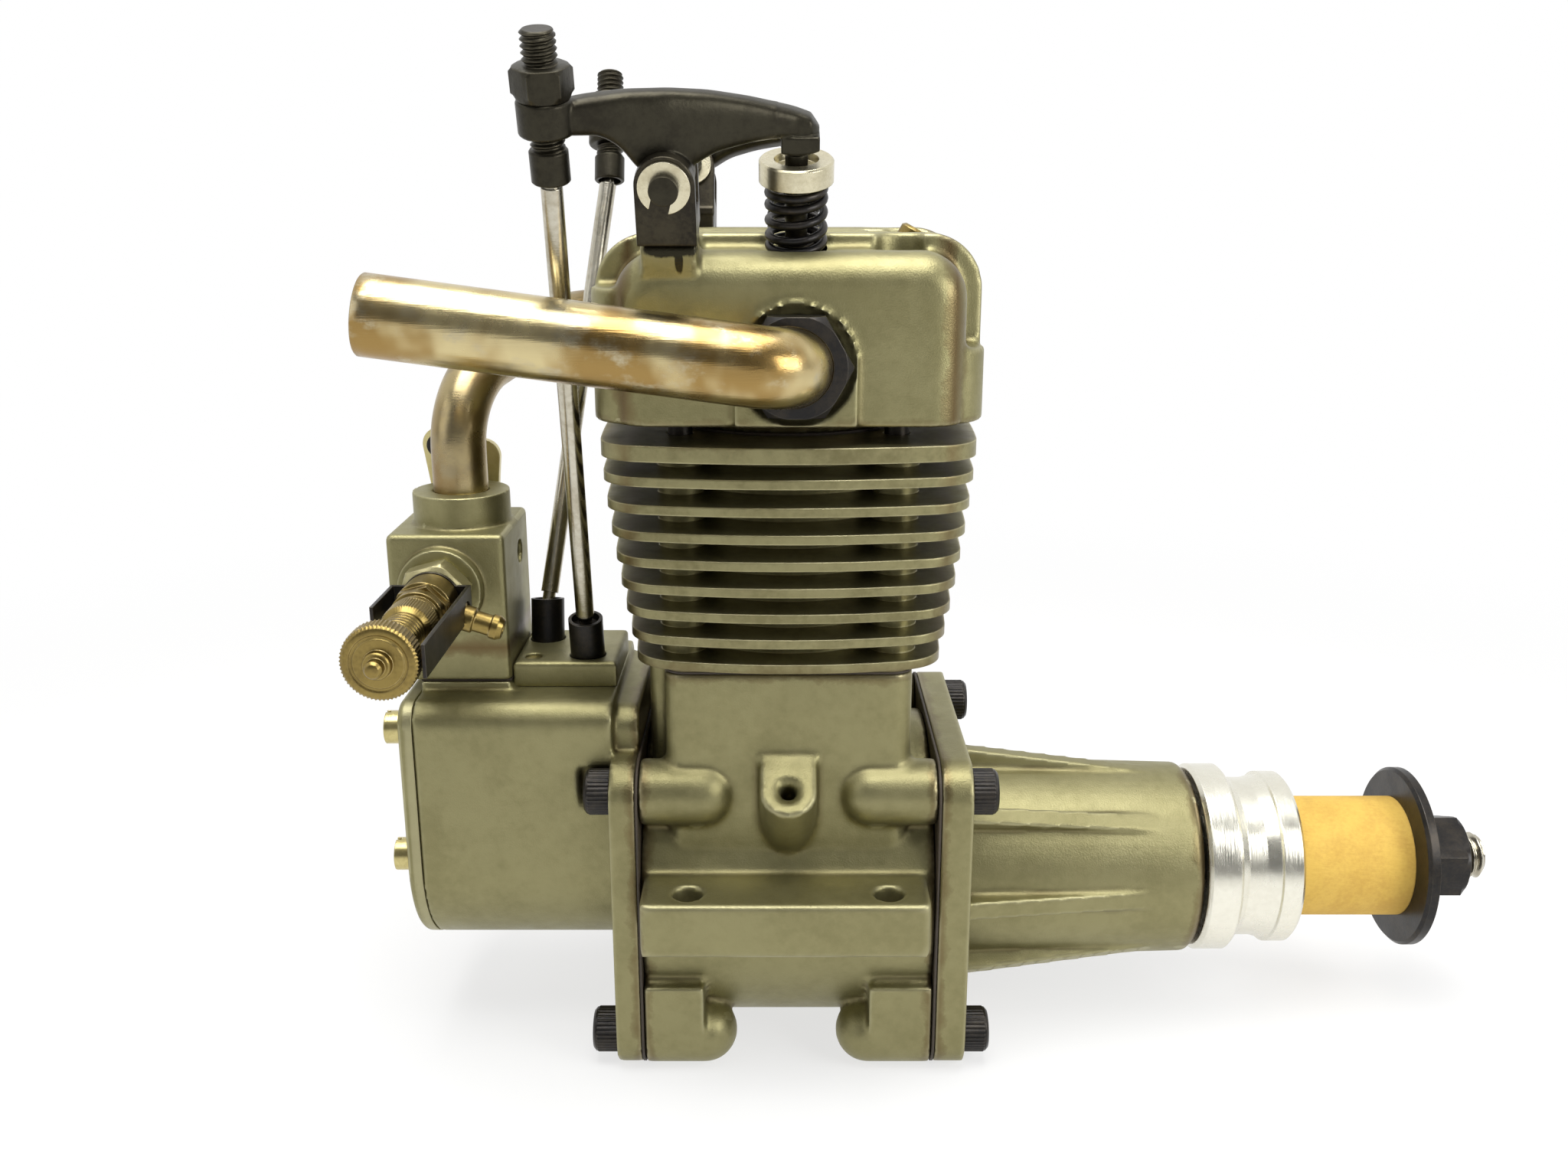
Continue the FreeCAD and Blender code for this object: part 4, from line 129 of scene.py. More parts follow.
class Wiring:
    """Adds nodes to a tree and joins them, so that a group reads as a list of steps."""

    def __init__(self, tree: bpy.types.NodeTree) -> None:
        """Keeps the tree to wire."""
        self.tree = tree

    def node(self, kind: str, **settings: object) -> bpy.types.Node:
        """Adds a node.

        Args:
            kind: The node's type name.
            **settings: Attributes to set on it.

        Returns:
            The new node.
        """
        made = self.tree.nodes.new(kind)
        for key, value in settings.items():
            setattr(made, key, value)
        return made

    def feed(self, socket: bpy.types.NodeSocket, value: object) -> None:
        """Links an output socket to a socket, or sets a plain value on it."""
        if isinstance(value, bpy.types.NodeSocket):
            self.tree.links.new(value, socket)
        else:
            socket.default_value = value

    def math(self, operation: str, first: object, second: object = 0.0, third: object = 0.0,
             clamp: bool = False) -> bpy.types.NodeSocket:
        """Adds a Math node on one to three values and returns its result."""
        made = self.node("ShaderNodeMath", operation=operation, use_clamp=clamp)
        for socket, value in zip(made.inputs, (first, second, third)):
            self.feed(socket, value)
        return made.outputs[0]

    def ramp(self, value: object, low: object, high: object) -> bpy.types.NodeSocket:
        """Maps a value smoothly from 0 at low to 1 at high."""
        made = self.node("ShaderNodeMapRange", interpolation_type="SMOOTHSTEP")
        self.feed(made.inputs["Value"], value)
        self.feed(made.inputs["From Min"], low)
        self.feed(made.inputs["From Max"], high)
        return made.outputs["Result"]

    def mix(self, amount: object, first: object, second: object) -> bpy.types.NodeSocket:
        """Mixes two colours by an amount."""
        made = self.node("ShaderNodeMix", data_type="RGBA")
        self.feed(made.inputs[0], amount)
        self.feed(made.inputs[6], first)
        self.feed(made.inputs[7], second)
        return made.outputs[2]

    def noise(self, vector: object, scale: object, detail: float = 3.0,
              rough: float = 0.55) -> bpy.types.NodeSocket:
        """Adds a noise texture and returns its value."""
        made = self.node("ShaderNodeTexNoise")
        self.feed(made.inputs["Vector"], vector)
        self.feed(made.inputs["Scale"], scale)
        made.inputs["Detail"].default_value = detail
        made.inputs["Roughness"].default_value = rough
        return made.outputs["Fac"]

    def place(self) -> bpy.types.NodeSocket:
        """Returns the Object coordinate."""
        return self.node("ShaderNodeTexCoord").outputs["Object"]

    def split(self, vector: object) -> tuple[bpy.types.NodeSocket, ...]:
        """Returns the three parts of a vector."""
        made = self.node("ShaderNodeSeparateXYZ")
        self.feed(made.inputs[0], vector)
        return tuple(made.outputs)

    def stretched(self, vector: object, scale: Vec) -> bpy.types.NodeSocket:
        """Scales a coordinate along each axis."""
        made = self.node("ShaderNodeMapping")
        self.feed(made.inputs["Vector"], vector)
        made.inputs["Scale"].default_value = scale
        return made.outputs["Vector"]


def edge_wear_group() -> bpy.types.NodeTree:
    """Mask of outer edges: how far the rounded normal departs from the true one, broken up by noise.

    Returns:
        A group with the inputs Width and Break-up, and the outputs Mask and Normal.
    """
    inputs = {"Width": ("NodeSocketFloat", 0.0003), "Break-up": ("NodeSocketFloat", 0.5)}
    tree = new_group("edge_wear", inputs, {"Mask": "NodeSocketFloat", "Normal": "NodeSocketVector"})
    wire = Wiring(tree)
    given, result = tree.nodes["Group Input"], tree.nodes["Group Output"]
    bevel = wire.node("ShaderNodeBevel", samples=6)
    wire.feed(bevel.inputs["Radius"], given.outputs["Width"])
    geometry = wire.node("ShaderNodeNewGeometry")
    dot = wire.node("ShaderNodeVectorMath", operation="DOT_PRODUCT")
    wire.feed(dot.inputs[0], bevel.outputs[0])
    wire.feed(dot.inputs[1], geometry.outputs["Normal"])
    departure = wire.math("SUBTRACT", 1.0, dot.outputs["Value"])
    noise = wire.noise(wire.place(), 900.0, 4.0)
    limit = wire.math("MULTIPLY_ADD", noise, given.outputs["Break-up"], 0.02)
    wire.feed(result.inputs["Mask"], wire.ramp(departure, 0.01, limit))
    wire.feed(result.inputs["Normal"], bevel.outputs[0])
    return tree


def mottle_group() -> bpy.types.NodeTree:
    """Slow change of tone over a surface, as handling, oil and age leave on bare metal.

    Returns:
        A group with the inputs Colour, Shade, Size and Amount, and the output Colour.
    """
    tree = new_group("mottle", {"Colour": ("NodeSocketColor", None), "Shade": ("NodeSocketColor", None),
                                "Size": ("NodeSocketFloat", 120.0), "Amount": ("NodeSocketFloat", 0.5)},
                     {"Colour": "NodeSocketColor"})
    wire = Wiring(tree)
    given, result = tree.nodes["Group Input"], tree.nodes["Group Output"]
    place = wire.place()
    slow = wire.noise(place, given.outputs["Size"], 5.0, 0.6)
    fine = wire.noise(place, wire.math("MULTIPLY", given.outputs["Size"], 9.0), 3.0, 0.6)
    blend = wire.math("MULTIPLY_ADD", fine, 0.35, wire.math("MULTIPLY", slow, 0.65))
    amount = wire.math("MULTIPLY", wire.ramp(blend, 0.38, 0.66), given.outputs["Amount"])
    wire.feed(result.inputs["Colour"], wire.mix(amount, given.outputs["Colour"], given.outputs["Shade"]))
    return tree


def oil_stain_group() -> bpy.types.NodeTree:
    """Mask of brown oil that creeps out of the joints: bands about the flange planes, frayed by noise.

    Returns:
        A group with the input Reach and the output Mask.
    """
    tree = new_group("oil_stain", {"Reach": ("NodeSocketFloat", 0.0016)}, {"Mask": "NodeSocketFloat"})
    wire = Wiring(tree)
    given, result = tree.nodes["Group Input"], tree.nodes["Group Output"]
    place = wire.place()
    axes = wire.split(place)
    fray = wire.noise(place, 260.0, 4.0, 0.65)
    reach = wire.math("MULTIPLY", given.outputs["Reach"], wire.math("MULTIPLY_ADD", fray, 2.6, -0.45))
    masks = []
    for axis, plane in FLANGE_PLANES:
        distance = wire.math("ABSOLUTE", wire.math("SUBTRACT", axes[axis], plane))
        masks.append(wire.math("SUBTRACT", 1.0, wire.math("DIVIDE", distance, reach), clamp=True))
    total = masks[0]
    for mask in masks[1:]:
        total = wire.math("MAXIMUM", total, mask)
    wire.feed(result.inputs["Mask"], wire.math("POWER", total, 0.7))
    return tree


def grain_group(kind: Grain) -> bpy.types.NodeTree:
    """Fine relief of a surface as a height: blasted pits, turning rings, drawing lines or fibres.

    Args:
        kind: Which relief.

    Returns:
        A group with the input Size and the output Height.
    """
    tree = new_group("grain_" + kind.value, {"Size": ("NodeSocketFloat", 1.0)}, {"Height": "NodeSocketFloat"})
    wire = Wiring(tree)
    given, result = tree.nodes["Group Input"], tree.nodes["Group Output"]
    place = wire.place()
    stretch = {Grain.SANDBLASTED: (1.0, 1.0, 1.0), Grain.TURNED: (6.0, 0.25, 0.25),
               Grain.DRAWN: (0.12, 2.5, 2.5), Grain.FIBROUS: (0.5, 1.6, 1.6)}[kind]
    scale = {Grain.SANDBLASTED: 5200.0, Grain.TURNED: 900.0, Grain.DRAWN: 2600.0, Grain.FIBROUS: 2400.0}[kind]
    size = given.outputs["Size"]
    fine = wire.noise(wire.stretched(place, stretch), wire.math("DIVIDE", scale, size), 3.0, 0.6)
    coarse = wire.noise(wire.stretched(place, stretch), wire.math("DIVIDE", scale / 4, size), 2.0)
    wire.feed(result.inputs["Height"], wire.math("MULTIPLY_ADD", coarse, 0.5, fine))
    return tree


def heat_tint_group() -> bpy.types.NodeTree:
    """Colour of a pipe that hot gas has tinted: straw, brown and grey patches that drift along it.

    Returns:
        A group with the inputs Straw, Brown and Grey, and the output Colour.
    """
    tree = new_group("heat_tint", {"Straw": ("NodeSocketColor", None), "Brown": ("NodeSocketColor", None),
                                   "Grey": ("NodeSocketColor", None)}, {"Colour": "NodeSocketColor"})
    wire = Wiring(tree)
    given, result = tree.nodes["Group Input"], tree.nodes["Group Output"]
    place = wire.place()
    bands = wire.noise(wire.stretched(place, (1.0, 0.6, 0.9)), 95.0, 3.0, 0.5)
    patches = wire.noise(wire.stretched(place, (1.0, 1.4, 1.4)), 210.0, 5.0, 0.65)
    warm = wire.mix(wire.ramp(bands, 0.42, 0.6), given.outputs["Straw"], given.outputs["Brown"])
    wire.feed(result.inputs["Colour"], wire.mix(wire.ramp(patches, 0.5, 0.72), warm, given.outputs["Grey"]))
    return tree


def crevice_group() -> bpy.types.NodeTree:
    """Masks from how sharply a dense surface curves: painted shade with dirt in inner corners, and rubbed
    metal on outer ones.

    Returns:
        A group with the input Break-up, and two outputs: painted shade with dirt in inner corners, and rubbed
        outer edges.
    """
    tree = new_group("crevices", {"Break-up": ("NodeSocketFloat", 0.02)},
                     {"Dirt": "NodeSocketFloat", "Rubbed": "NodeSocketFloat"})
    wire = Wiring(tree)
    given, result = tree.nodes["Group Input"], tree.nodes["Group Output"]
    noise = wire.math("SUBTRACT", wire.noise(wire.place(), 340.0, 4.0, 0.6), 0.5)
    curve = wire.node("ShaderNodeNewGeometry").outputs["Pointiness"]
    broken = wire.math("MULTIPLY_ADD", noise, given.outputs["Break-up"], curve)
    # Painted shade with dirt: dark brown where the surface curves inwards.
    wire.feed(result.inputs["Dirt"], wire.math("SUBTRACT", 1.0, wire.ramp(broken, 0.452, 0.496), clamp=True))
    wire.feed(result.inputs["Rubbed"], wire.ramp(broken, 0.512, 0.56))
    return tree


def foot_shadow_group() -> bpy.types.NodeTree:
    """Mask of the painted shadow below the near rocker bracket: a black line under its foot, and a pointed
    tail below it.

    Each is an ellipsoid: the distance from its middle, with every axis divided by its half-length, is under 1
    inside it. Noise frays the edge.

    Returns:
        A group with the input Fray and the output Mask.
    """
    tree = new_group("oil_drip", {"Fray": ("NodeSocketFloat", 0.7)}, {"Mask": "NodeSocketFloat"})
    wire = Wiring(tree)
    given, result = tree.nodes["Group Input"], tree.nodes["Group Output"]
    place = wire.place()
    distances = []
    # Painted shadow: a black line under the bracket's foot, and its pointed tail below.
    line, foot_shadow = ((-12.2, -20.6, 78.7), (3.3, 3.0, 0.95)), ((-11.3, -20.6, 77.6), (0.5, 2.0, 1.7))
    for middle, half in (line, foot_shadow):
        moved = wire.node("ShaderNodeMapping")
        wire.feed(moved.inputs["Vector"], place)
        moved.inputs["Location"].default_value = [-spot / size for spot, size in zip(middle, half)]
        moved.inputs["Scale"].default_value = [1.0 / (size * MM) for size in half]
        away = wire.node("ShaderNodeVectorMath", operation="LENGTH")
        wire.feed(away.inputs[0], moved.outputs["Vector"])
        distances.append(away.outputs["Value"])
    nearest = wire.math("MINIMUM", distances[0], distances[1])
    noise = wire.math("SUBTRACT", wire.noise(wire.stretched(place, (2.0, 1.0, 0.6)), 700.0, 3.0), 0.5)
    edge = wire.math("MULTIPLY_ADD", noise, given.outputs["Fray"], nearest)
    wire.feed(result.inputs["Mask"], wire.math("SUBTRACT", 1.0, wire.ramp(edge, 0.75, 1.05), clamp=True))
    return tree


class Effects:
    """The shared node groups, each built once."""

    def __init__(self) -> None:
        """Builds every group."""
        self.edge_wear = edge_wear_group()
        self.mottle = mottle_group()
        self.oil_stain = oil_stain_group()
        self.heat_tint = heat_tint_group()
        self.crevices = crevice_group()
        self.foot_shadow = foot_shadow_group()
        self.grain = {kind: grain_group(kind) for kind in Grain}


# Finishes


@dataclass(frozen=True)
class Finish:
    """A surface: its colours, its gloss and how strongly each shared effect shows."""

    name: str
    colour: Colour
    shade: Colour
    metallic: float
    roughness: float
    grain: Grain
    grain_size: float = 1.0
    grain_depth: float = 0.1
    mottle: float = 0.5
    mottle_size: float = 120.0
    worn: Colour | None = None
    wear: float = 0.6
    edge: float = 0.0003
    oil: float = 0.0
    tint: Colour | None = None
    cast: bool = False

    def material(self, effects: Effects) -> bpy.types.Material:
        """Builds the material.

        Args:
            effects: The shared node groups.

        Returns:
            A material with one Principled BSDF fed by the groups.
        """
        made = bpy.data.materials.new(self.name)
        made.use_nodes = True
        tree = made.node_tree
        wire = Wiring(tree)
        shader = tree.nodes["Principled BSDF"]
        colour = self._colour(wire, effects)
        edges = self._group(wire, effects.edge_wear)
        edges.inputs["Width"].default_value = self.edge
        if self.worn is not None:
            amount = wire.math("MULTIPLY", edges.outputs["Mask"], self.wear)
            colour = wire.mix(amount, colour, (*self.worn, 1.0))
        rough = wire.math("MULTIPLY_ADD", wire.noise(wire.place(), 300.0, 4.0), 0.24, self.roughness - 0.12)
        if self.oil > 0:
            stain = self._group(wire, effects.oil_stain)
            amount = wire.math("MULTIPLY", stain.outputs["Mask"], self.oil)
            colour = wire.mix(amount, colour, OIL_BROWN)
            rough = wire.math("SUBTRACT", rough, wire.math("MULTIPLY", amount, 0.14))
        if self.cast:
            colour, rough = self._cast_skin(wire, effects, colour, rough)
        grain = self._group(wire, effects.grain[self.grain])
        grain.inputs["Size"].default_value = self.grain_size
        bump = wire.node("ShaderNodeBump")
        bump.inputs["Strength"].default_value = self.grain_depth
        bump.inputs["Distance"].default_value = GRAIN_HEIGHT
        wire.feed(bump.inputs["Height"], grain.outputs["Height"])
        wire.feed(bump.inputs["Normal"], edges.outputs["Normal"])
        wire.feed(shader.inputs["Base Color"], colour)
        wire.feed(shader.inputs["Roughness"], rough)
        wire.feed(shader.inputs["Normal"], bump.outputs["Normal"])
        shader.inputs["Metallic"].default_value = self.metallic
        return made

    def _cast_skin(self, wire: Wiring, effects: Effects, colour: bpy.types.NodeSocket,
                   rough: bpy.types.NodeSocket) -> tuple[bpy.types.NodeSocket, bpy.types.NodeSocket]:
        """Adds to a casting: painted shade with brown dirt in its corners, rubbed edges, and a painted shadow
        below the rocker bracket.

        Args:
            wire: The material's wiring.
            effects: The shared node groups.
            colour: The colour so far.
            rough: The roughness so far.

        Returns:
            The new colour and roughness.
        """
        crevices = self._group(wire, effects.crevices)
        # Painted shade with brown dirt in the inner corners.
        shade_and_dirt = wire.math("MULTIPLY", crevices.outputs["Dirt"], 0.62)
        colour = wire.mix(shade_and_dirt, colour, CORNER_SHADE_AND_DIRT)
        rubbed = wire.math("MULTIPLY", crevices.outputs["Rubbed"], 0.5)
        colour = wire.mix(rubbed, colour, (*self.worn, 1.0))
        # Painted shadow under the near rocker bracket's foot: black, and a little glossier.
        foot_shadow = self._group(wire, effects.foot_shadow)
        colour = wire.mix(wire.math("MULTIPLY", foot_shadow.outputs["Mask"], 0.94), colour, FOOT_SHADOW_BLACK)
        rough = wire.math("SUBTRACT", rough, wire.math("MULTIPLY", foot_shadow.outputs["Mask"], 0.2))
        return colour, rough

    def _group(self, wire: Wiring, tree: bpy.types.NodeTree) -> bpy.types.Node:
        """Places a shared group in the material."""
        return wire.node("ShaderNodeGroup", node_tree=tree)

    def _colour(self, wire: Wiring, effects: Effects) -> bpy.types.NodeSocket:
        """Returns the colour before wear and oil: heat tint where the finish has one, or else the mottle."""
        if self.tint is not None:
            heat = self._group(wire, effects.heat_tint)
            heat.inputs["Straw"].default_value = (*self.colour, 1.0)
            heat.inputs["Brown"].default_value = (*self.tint, 1.0)
            heat.inputs["Grey"].default_value = (*self.shade, 1.0)
            return heat.outputs["Colour"]
        mottle = self._group(wire, effects.mottle)
        mottle.inputs["Colour"].default_value = (*self.colour, 1.0)
        mottle.inputs["Shade"].default_value = (*self.shade, 1.0)
        mottle.inputs["Size"].default_value = self.mottle_size
        mottle.inputs["Amount"].default_value = self.mottle
        return mottle.outputs["Colour"]


CASTING = Finish(
    "sandblasted_casting", colour=(0.285, 0.262, 0.132), shade=(0.205, 0.186, 0.085), metallic=0.88,
    roughness=0.44, grain=Grain.SANDBLASTED, grain_depth=0.26, mottle=0.6, mottle_size=90.0,
    worn=(0.47, 0.44, 0.27), wear=0.0, edge=0.0002, oil=0.8, cast=True)
FIN_METAL = Finish(
    "fin_alloy", colour=(0.29, 0.265, 0.135), shade=(0.17, 0.15, 0.07), metallic=0.88, roughness=0.4,
    grain=Grain.SANDBLASTED, grain_depth=0.14, mottle=0.8, mottle_size=110.0, worn=(0.66, 0.61, 0.38),
    wear=0.75, edge=0.0003, oil=0.5)
POLISHED = Finish(
    "turned_alloy", colour=(0.82, 0.8, 0.7), shade=(0.68, 0.65, 0.54), metallic=1.0, roughness=0.26,
    grain=Grain.TURNED, grain_depth=0.14, mottle=0.4, mottle_size=160.0, worn=(0.95, 0.94, 0.9), wear=0.5,
    edge=0.0002)
DULL_ALLOY = Finish(
    "dull_alloy", colour=(0.44, 0.4, 0.22), shade=(0.3, 0.265, 0.13), metallic=0.9, roughness=0.4,
    grain=Grain.SANDBLASTED, mottle=0.6, mottle_size=140.0, worn=(0.68, 0.63, 0.42), wear=0.6, edge=0.00025)
BLACK_STEEL = Finish(
    "black_oxide_steel", colour=(0.026, 0.025, 0.025), shade=(0.06, 0.05, 0.038), metallic=0.85,
    roughness=0.36, grain=Grain.SANDBLASTED, grain_size=1.2, grain_depth=0.07, mottle=0.6,
    mottle_size=260.0, worn=(0.24, 0.215, 0.17), wear=0.5, edge=0.00015)
ROCKER_STEEL = Finish(
    "oiled_rocker_steel", colour=(0.04, 0.036, 0.024), shade=(0.02, 0.017, 0.012), metallic=0.88,
    roughness=0.38, grain=Grain.SANDBLASTED, grain_size=1.6, grain_depth=0.16, mottle=0.8,
    mottle_size=150.0, worn=(0.3, 0.265, 0.18), wear=0.35, edge=0.0002)
BRACKET_STEEL = Finish(
    "browned_bracket_steel", colour=(0.05, 0.043, 0.028), shade=(0.02, 0.017, 0.013), metallic=0.85,
    roughness=0.34, grain=Grain.SANDBLASTED, grain_size=1.2, mottle=0.9, mottle_size=230.0,
    worn=(0.27, 0.24, 0.17), wear=0.5, edge=0.0002)
BRIGHT_STEEL = Finish(
    "ground_steel", colour=(0.56, 0.53, 0.44), shade=(0.34, 0.3, 0.21), metallic=1.0, roughness=0.24,
    grain=Grain.DRAWN, grain_depth=0.08, mottle=0.7, mottle_size=170.0, worn=(0.85, 0.83, 0.78), wear=0.4,
    edge=0.00015)
CLIP_STEEL = Finish(
    "plated_clip_steel", colour=(0.66, 0.61, 0.44), shade=(0.42, 0.37, 0.23), metallic=1.0, roughness=0.28,
    grain=Grain.SANDBLASTED, grain_size=0.8, grain_depth=0.06, mottle=0.6, mottle_size=300.0,
    worn=(0.9, 0.87, 0.75), wear=0.4, edge=0.0001)
ZINC = Finish(
    "yellow_zinc_screw", colour=(0.6, 0.52, 0.24), shade=(0.4, 0.33, 0.13), metallic=1.0, roughness=0.3,
    grain=Grain.TURNED, grain_size=0.8, mottle=0.7, mottle_size=260.0, worn=(0.8, 0.74, 0.5), wear=0.5,
    edge=0.0002)
BRASS = Finish(
    "turned_brass", colour=(0.3, 0.22, 0.07), shade=(0.17, 0.12, 0.042), metallic=1.0, roughness=0.32,
    grain=Grain.TURNED, grain_depth=0.12, mottle=0.8, mottle_size=260.0, worn=(0.74, 0.6, 0.3), wear=0.6,
    edge=0.0002)
EXHAUST_TINT = Finish(
    "heat_tinted_pipe", colour=(0.62, 0.52, 0.28), shade=(0.5, 0.44, 0.29), metallic=1.0, roughness=0.25,
    grain=Grain.DRAWN, grain_size=1.4, grain_depth=0.14, tint=(0.33, 0.215, 0.075))
INTAKE_TINT = Finish(
    "warm_intake_pipe", colour=(0.42, 0.34, 0.18), shade=(0.32, 0.26, 0.15), metallic=1.0, roughness=0.29,
    grain=Grain.DRAWN, grain_size=1.2, grain_depth=0.12, tint=(0.26, 0.18, 0.08))
GOLD_SHEET = Finish(
    "passivated_sheet", colour=(0.66, 0.58, 0.28), shade=(0.5, 0.42, 0.18), metallic=0.85, roughness=0.34,
    grain=Grain.DRAWN, grain_depth=0.05, mottle=0.6, worn=(0.8, 0.74, 0.5), wear=0.5, edge=0.0002)
KRAFT = Finish(
    "wound_kraft_board", colour=(0.6, 0.39, 0.075), shade=(0.47, 0.28, 0.05), metallic=0.0, roughness=0.8,
    grain=Grain.FIBROUS, grain_size=1.6, grain_depth=0.55, mottle=0.7, mottle_size=240.0,
    worn=(0.82, 0.6, 0.24), wear=0.35, edge=0.0003)
GASKET_BLACK = Finish(
    "oily_gasket", colour=(0.05, 0.036, 0.022), shade=(0.02, 0.015, 0.01), metallic=0.0, roughness=0.6,
    grain=Grain.FIBROUS, grain_depth=0.3)
FINISHES = (CASTING, FIN_METAL, POLISHED, DULL_ALLOY, BLACK_STEEL, ROCKER_STEEL, BRACKET_STEEL, BRIGHT_STEEL,
            CLIP_STEEL, ZINC, BRASS, EXHAUST_TINT, INTAKE_TINT, GOLD_SHEET, KRAFT, GASKET_BLACK)


class Palette:
    """Every finish as a material."""

    def __init__(self) -> None:
        """Builds the effects, and one material for each finish."""
        effects = Effects()
        self._made = {finish.name: finish.material(effects) for finish in FINISHES}

    def dress(self, piece: bpy.types.Object, finish: Finish) -> bpy.types.Object:
        """Gives a piece one finish all over.

        Args:
            piece: A mesh object.
            finish: The finish.

        Returns:
            The same piece.
        """
        material = self._made[finish.name]
        if not piece.material_slots:
            piece.data.materials.append(material)
        for slot in piece.material_slots:
            slot.material = material
        return piece


# Forms worked out with numpy


@dataclass(frozen=True)
class Station:
    """One ring of a turned form: its height, radius, outline, and the radius that a bevel cuts it to."""

    height: float
    radius: float
    section: Section = Section.ROUND
    limit: float = 1e9


@dataclass(frozen=True)
class Stand:
    """Where a form that is drawn about +Z stands: its base, its direction and its spin, in the row frame."""

    base: Vec
    direction: Vec = (0.0, 0.0, 1.0)
    spin: float = 0.0

    def axes(self) -> np.ndarray:
        """Returns the three axes as rows: side, across and along."""
        along = np.array(self.direction, float)
        along /= np.linalg.norm(along)
        helper = np.array((0.0, 1.0, 0.0)) if abs(along[1]) < 0.9 else np.array((0.0, 0.0, 1.0))
        side = np.cross(helper, along)
        side /= np.linalg.norm(side)
        across = np.cross(along, side)
        turn = math.radians(self.spin)
        return np.stack((side * math.cos(turn) + across * math.sin(turn),
                         across * math.cos(turn) - side * math.sin(turn), along))

    def carry(self, points: np.ndarray) -> np.ndarray:
        """Moves points from the drawing frame to the row frame."""
        return np.array(self.base) + points @ self.axes()


def grid_faces(rows: int, cols: int, poles: np.ndarray) -> tuple[np.ndarray, list[list[int]]]:
    """Joins a grid that closes round its columns.

    A face joins columns j and j + 1 of rows i and i + 1. A row that is a pole is one vertex, so its faces
    are triangles.

    Args:
        rows: Number of rows.
        cols: Number of columns.
        poles: For each row, whether it is a single point.

    Returns:
        For each row, the index of its first vertex, and the faces.
    """
    starts = np.concatenate(([0], np.cumsum(np.where(poles, 1, cols))))
    index = starts[:-1, None] + np.where(poles[:, None], 0, np.arange(cols)[None, :])
    low, high = index[:-1], index[1:]
    quads = np.stack((low, np.roll(low, -1, 1), np.roll(high, -1, 1), high), -1)
    whole = ~(poles[:-1] | poles[1:])
    faces = quads[whole].reshape(-1, 4).tolist()
    faces += quads[poles[:-1]][:, :, [0, 2, 3]].reshape(-1, 3).tolist()
    faces += quads[poles[1:]][:, :, [0, 1, 2]].reshape(-1, 3).tolist()
    return starts, faces


class Surface:
    """Collects grids of points, in millimetres, and makes one mesh object of them."""

    def __init__(self, name: str, crease: float = 32.0) -> None:
        """Starts an empty surface.

        Args:
            name: The piece's name.
            crease: Edges sharper than this many degrees stay sharp.
        """
        self.name = name
        self.crease = crease
        self._points: list[np.ndarray] = []
        self._faces: list[list[int]] = []
        self._count = 0

    def add(self, grid: np.ndarray, mirrored: bool = False) -> "Surface":
        """Adds one grid of shape (rows, columns, 3) that closes round its columns.

        Args:
            grid: The points, with rows that shrink to a point at a closed end.
            mirrored: Whether the points were mirrored, so that the faces must turn round.

        Returns:
            This surface.
        """
        poles = np.ptp(grid, axis=1).max(axis=1) < 1e-7
        _, faces = grid_faces(grid.shape[0], grid.shape[1], poles)
        rows = [row[:1] if pole else row for row, pole in zip(grid, poles)]
        step = self._count
        self._faces += [[corner + step for corner in (face[::-1] if mirrored else face)] for face in faces]
        self._points.append(np.concatenate(rows))
        self._count += sum(len(row) for row in rows)
        return self

    def build(self) -> bpy.types.Object:
        """Returns the mesh object, in metres, with closed seams, smooth faces and sharp creases."""
        mesh = bpy.data.meshes.new(self.name)
        mesh.from_pydata((np.concatenate(self._points) * MM).tolist(), [], self._faces)
        work = bmesh.new()
        work.from_mesh(mesh)
        bmesh.ops.remove_doubles(work, verts=work.verts, dist=SEAM * MM)
        work.to_mesh(mesh)
        work.free()
        mesh.polygons.foreach_set("use_smooth", np.ones(len(mesh.polygons), bool))
        mesh.set_sharp_from_angle(angle=math.radians(self.crease))
        piece = bpy.data.objects.new(self.name, mesh)
        bpy.context.scene.collection.objects.link(piece)
        return piece


def outline(section: Section, angle: np.ndarray, ridges: int = 40) -> np.ndarray:
    """Radius of an outline of size 1 at each angle.

    A hexagon is 1 / cos(a), with a the angle from the nearest flat's middle. A knurl is
    1 - 0.035 |sin(n t / 2)|.

    Args:
        section: Which outline.
        angle: Angles in radians.
        ridges: Number of ridges of a knurl.

    Returns:
        The radii.
    """
    if section is Section.HEXAGON:
        return 1.0 / np.cos((angle % (TURN / 6)) - TURN / 12)
    if section is Section.KNURL:
        return 1.0 - 0.035 * np.abs(np.sin(angle * ridges / 2))
    return np.ones_like(angle)


def turned(stations: list[Station], stand: Stand, columns: int = 72, ridges: int = 40) -> np.ndarray:
    """Surface of revolution whose outline may be a hexagon or a knurl.

    The point at angle t of a station is (r cos t, r sin t, height) with r = min(radius * outline(t), limit).

    Args:
        stations: The rings, from the lowest outside to the last.
        stand: Where it stands.
        columns: Points round it.
        ridges: Ridges of a knurl.

    Returns:
        A grid of points.
    """
    angle = np.arange(columns) * TURN / columns
    shape = np.stack([outline(item.section, angle, ridges) for item in stations])
    radius = np.array([item.radius for item in stations])[:, None] * shape
    radius = np.minimum(radius, np.array([item.limit for item in stations])[:, None])
    height = np.broadcast_to(np.array([item.height for item in stations])[:, None], radius.shape)
    return stand.carry(np.stack((radius * np.cos(angle), radius * np.sin(angle), height), -1))


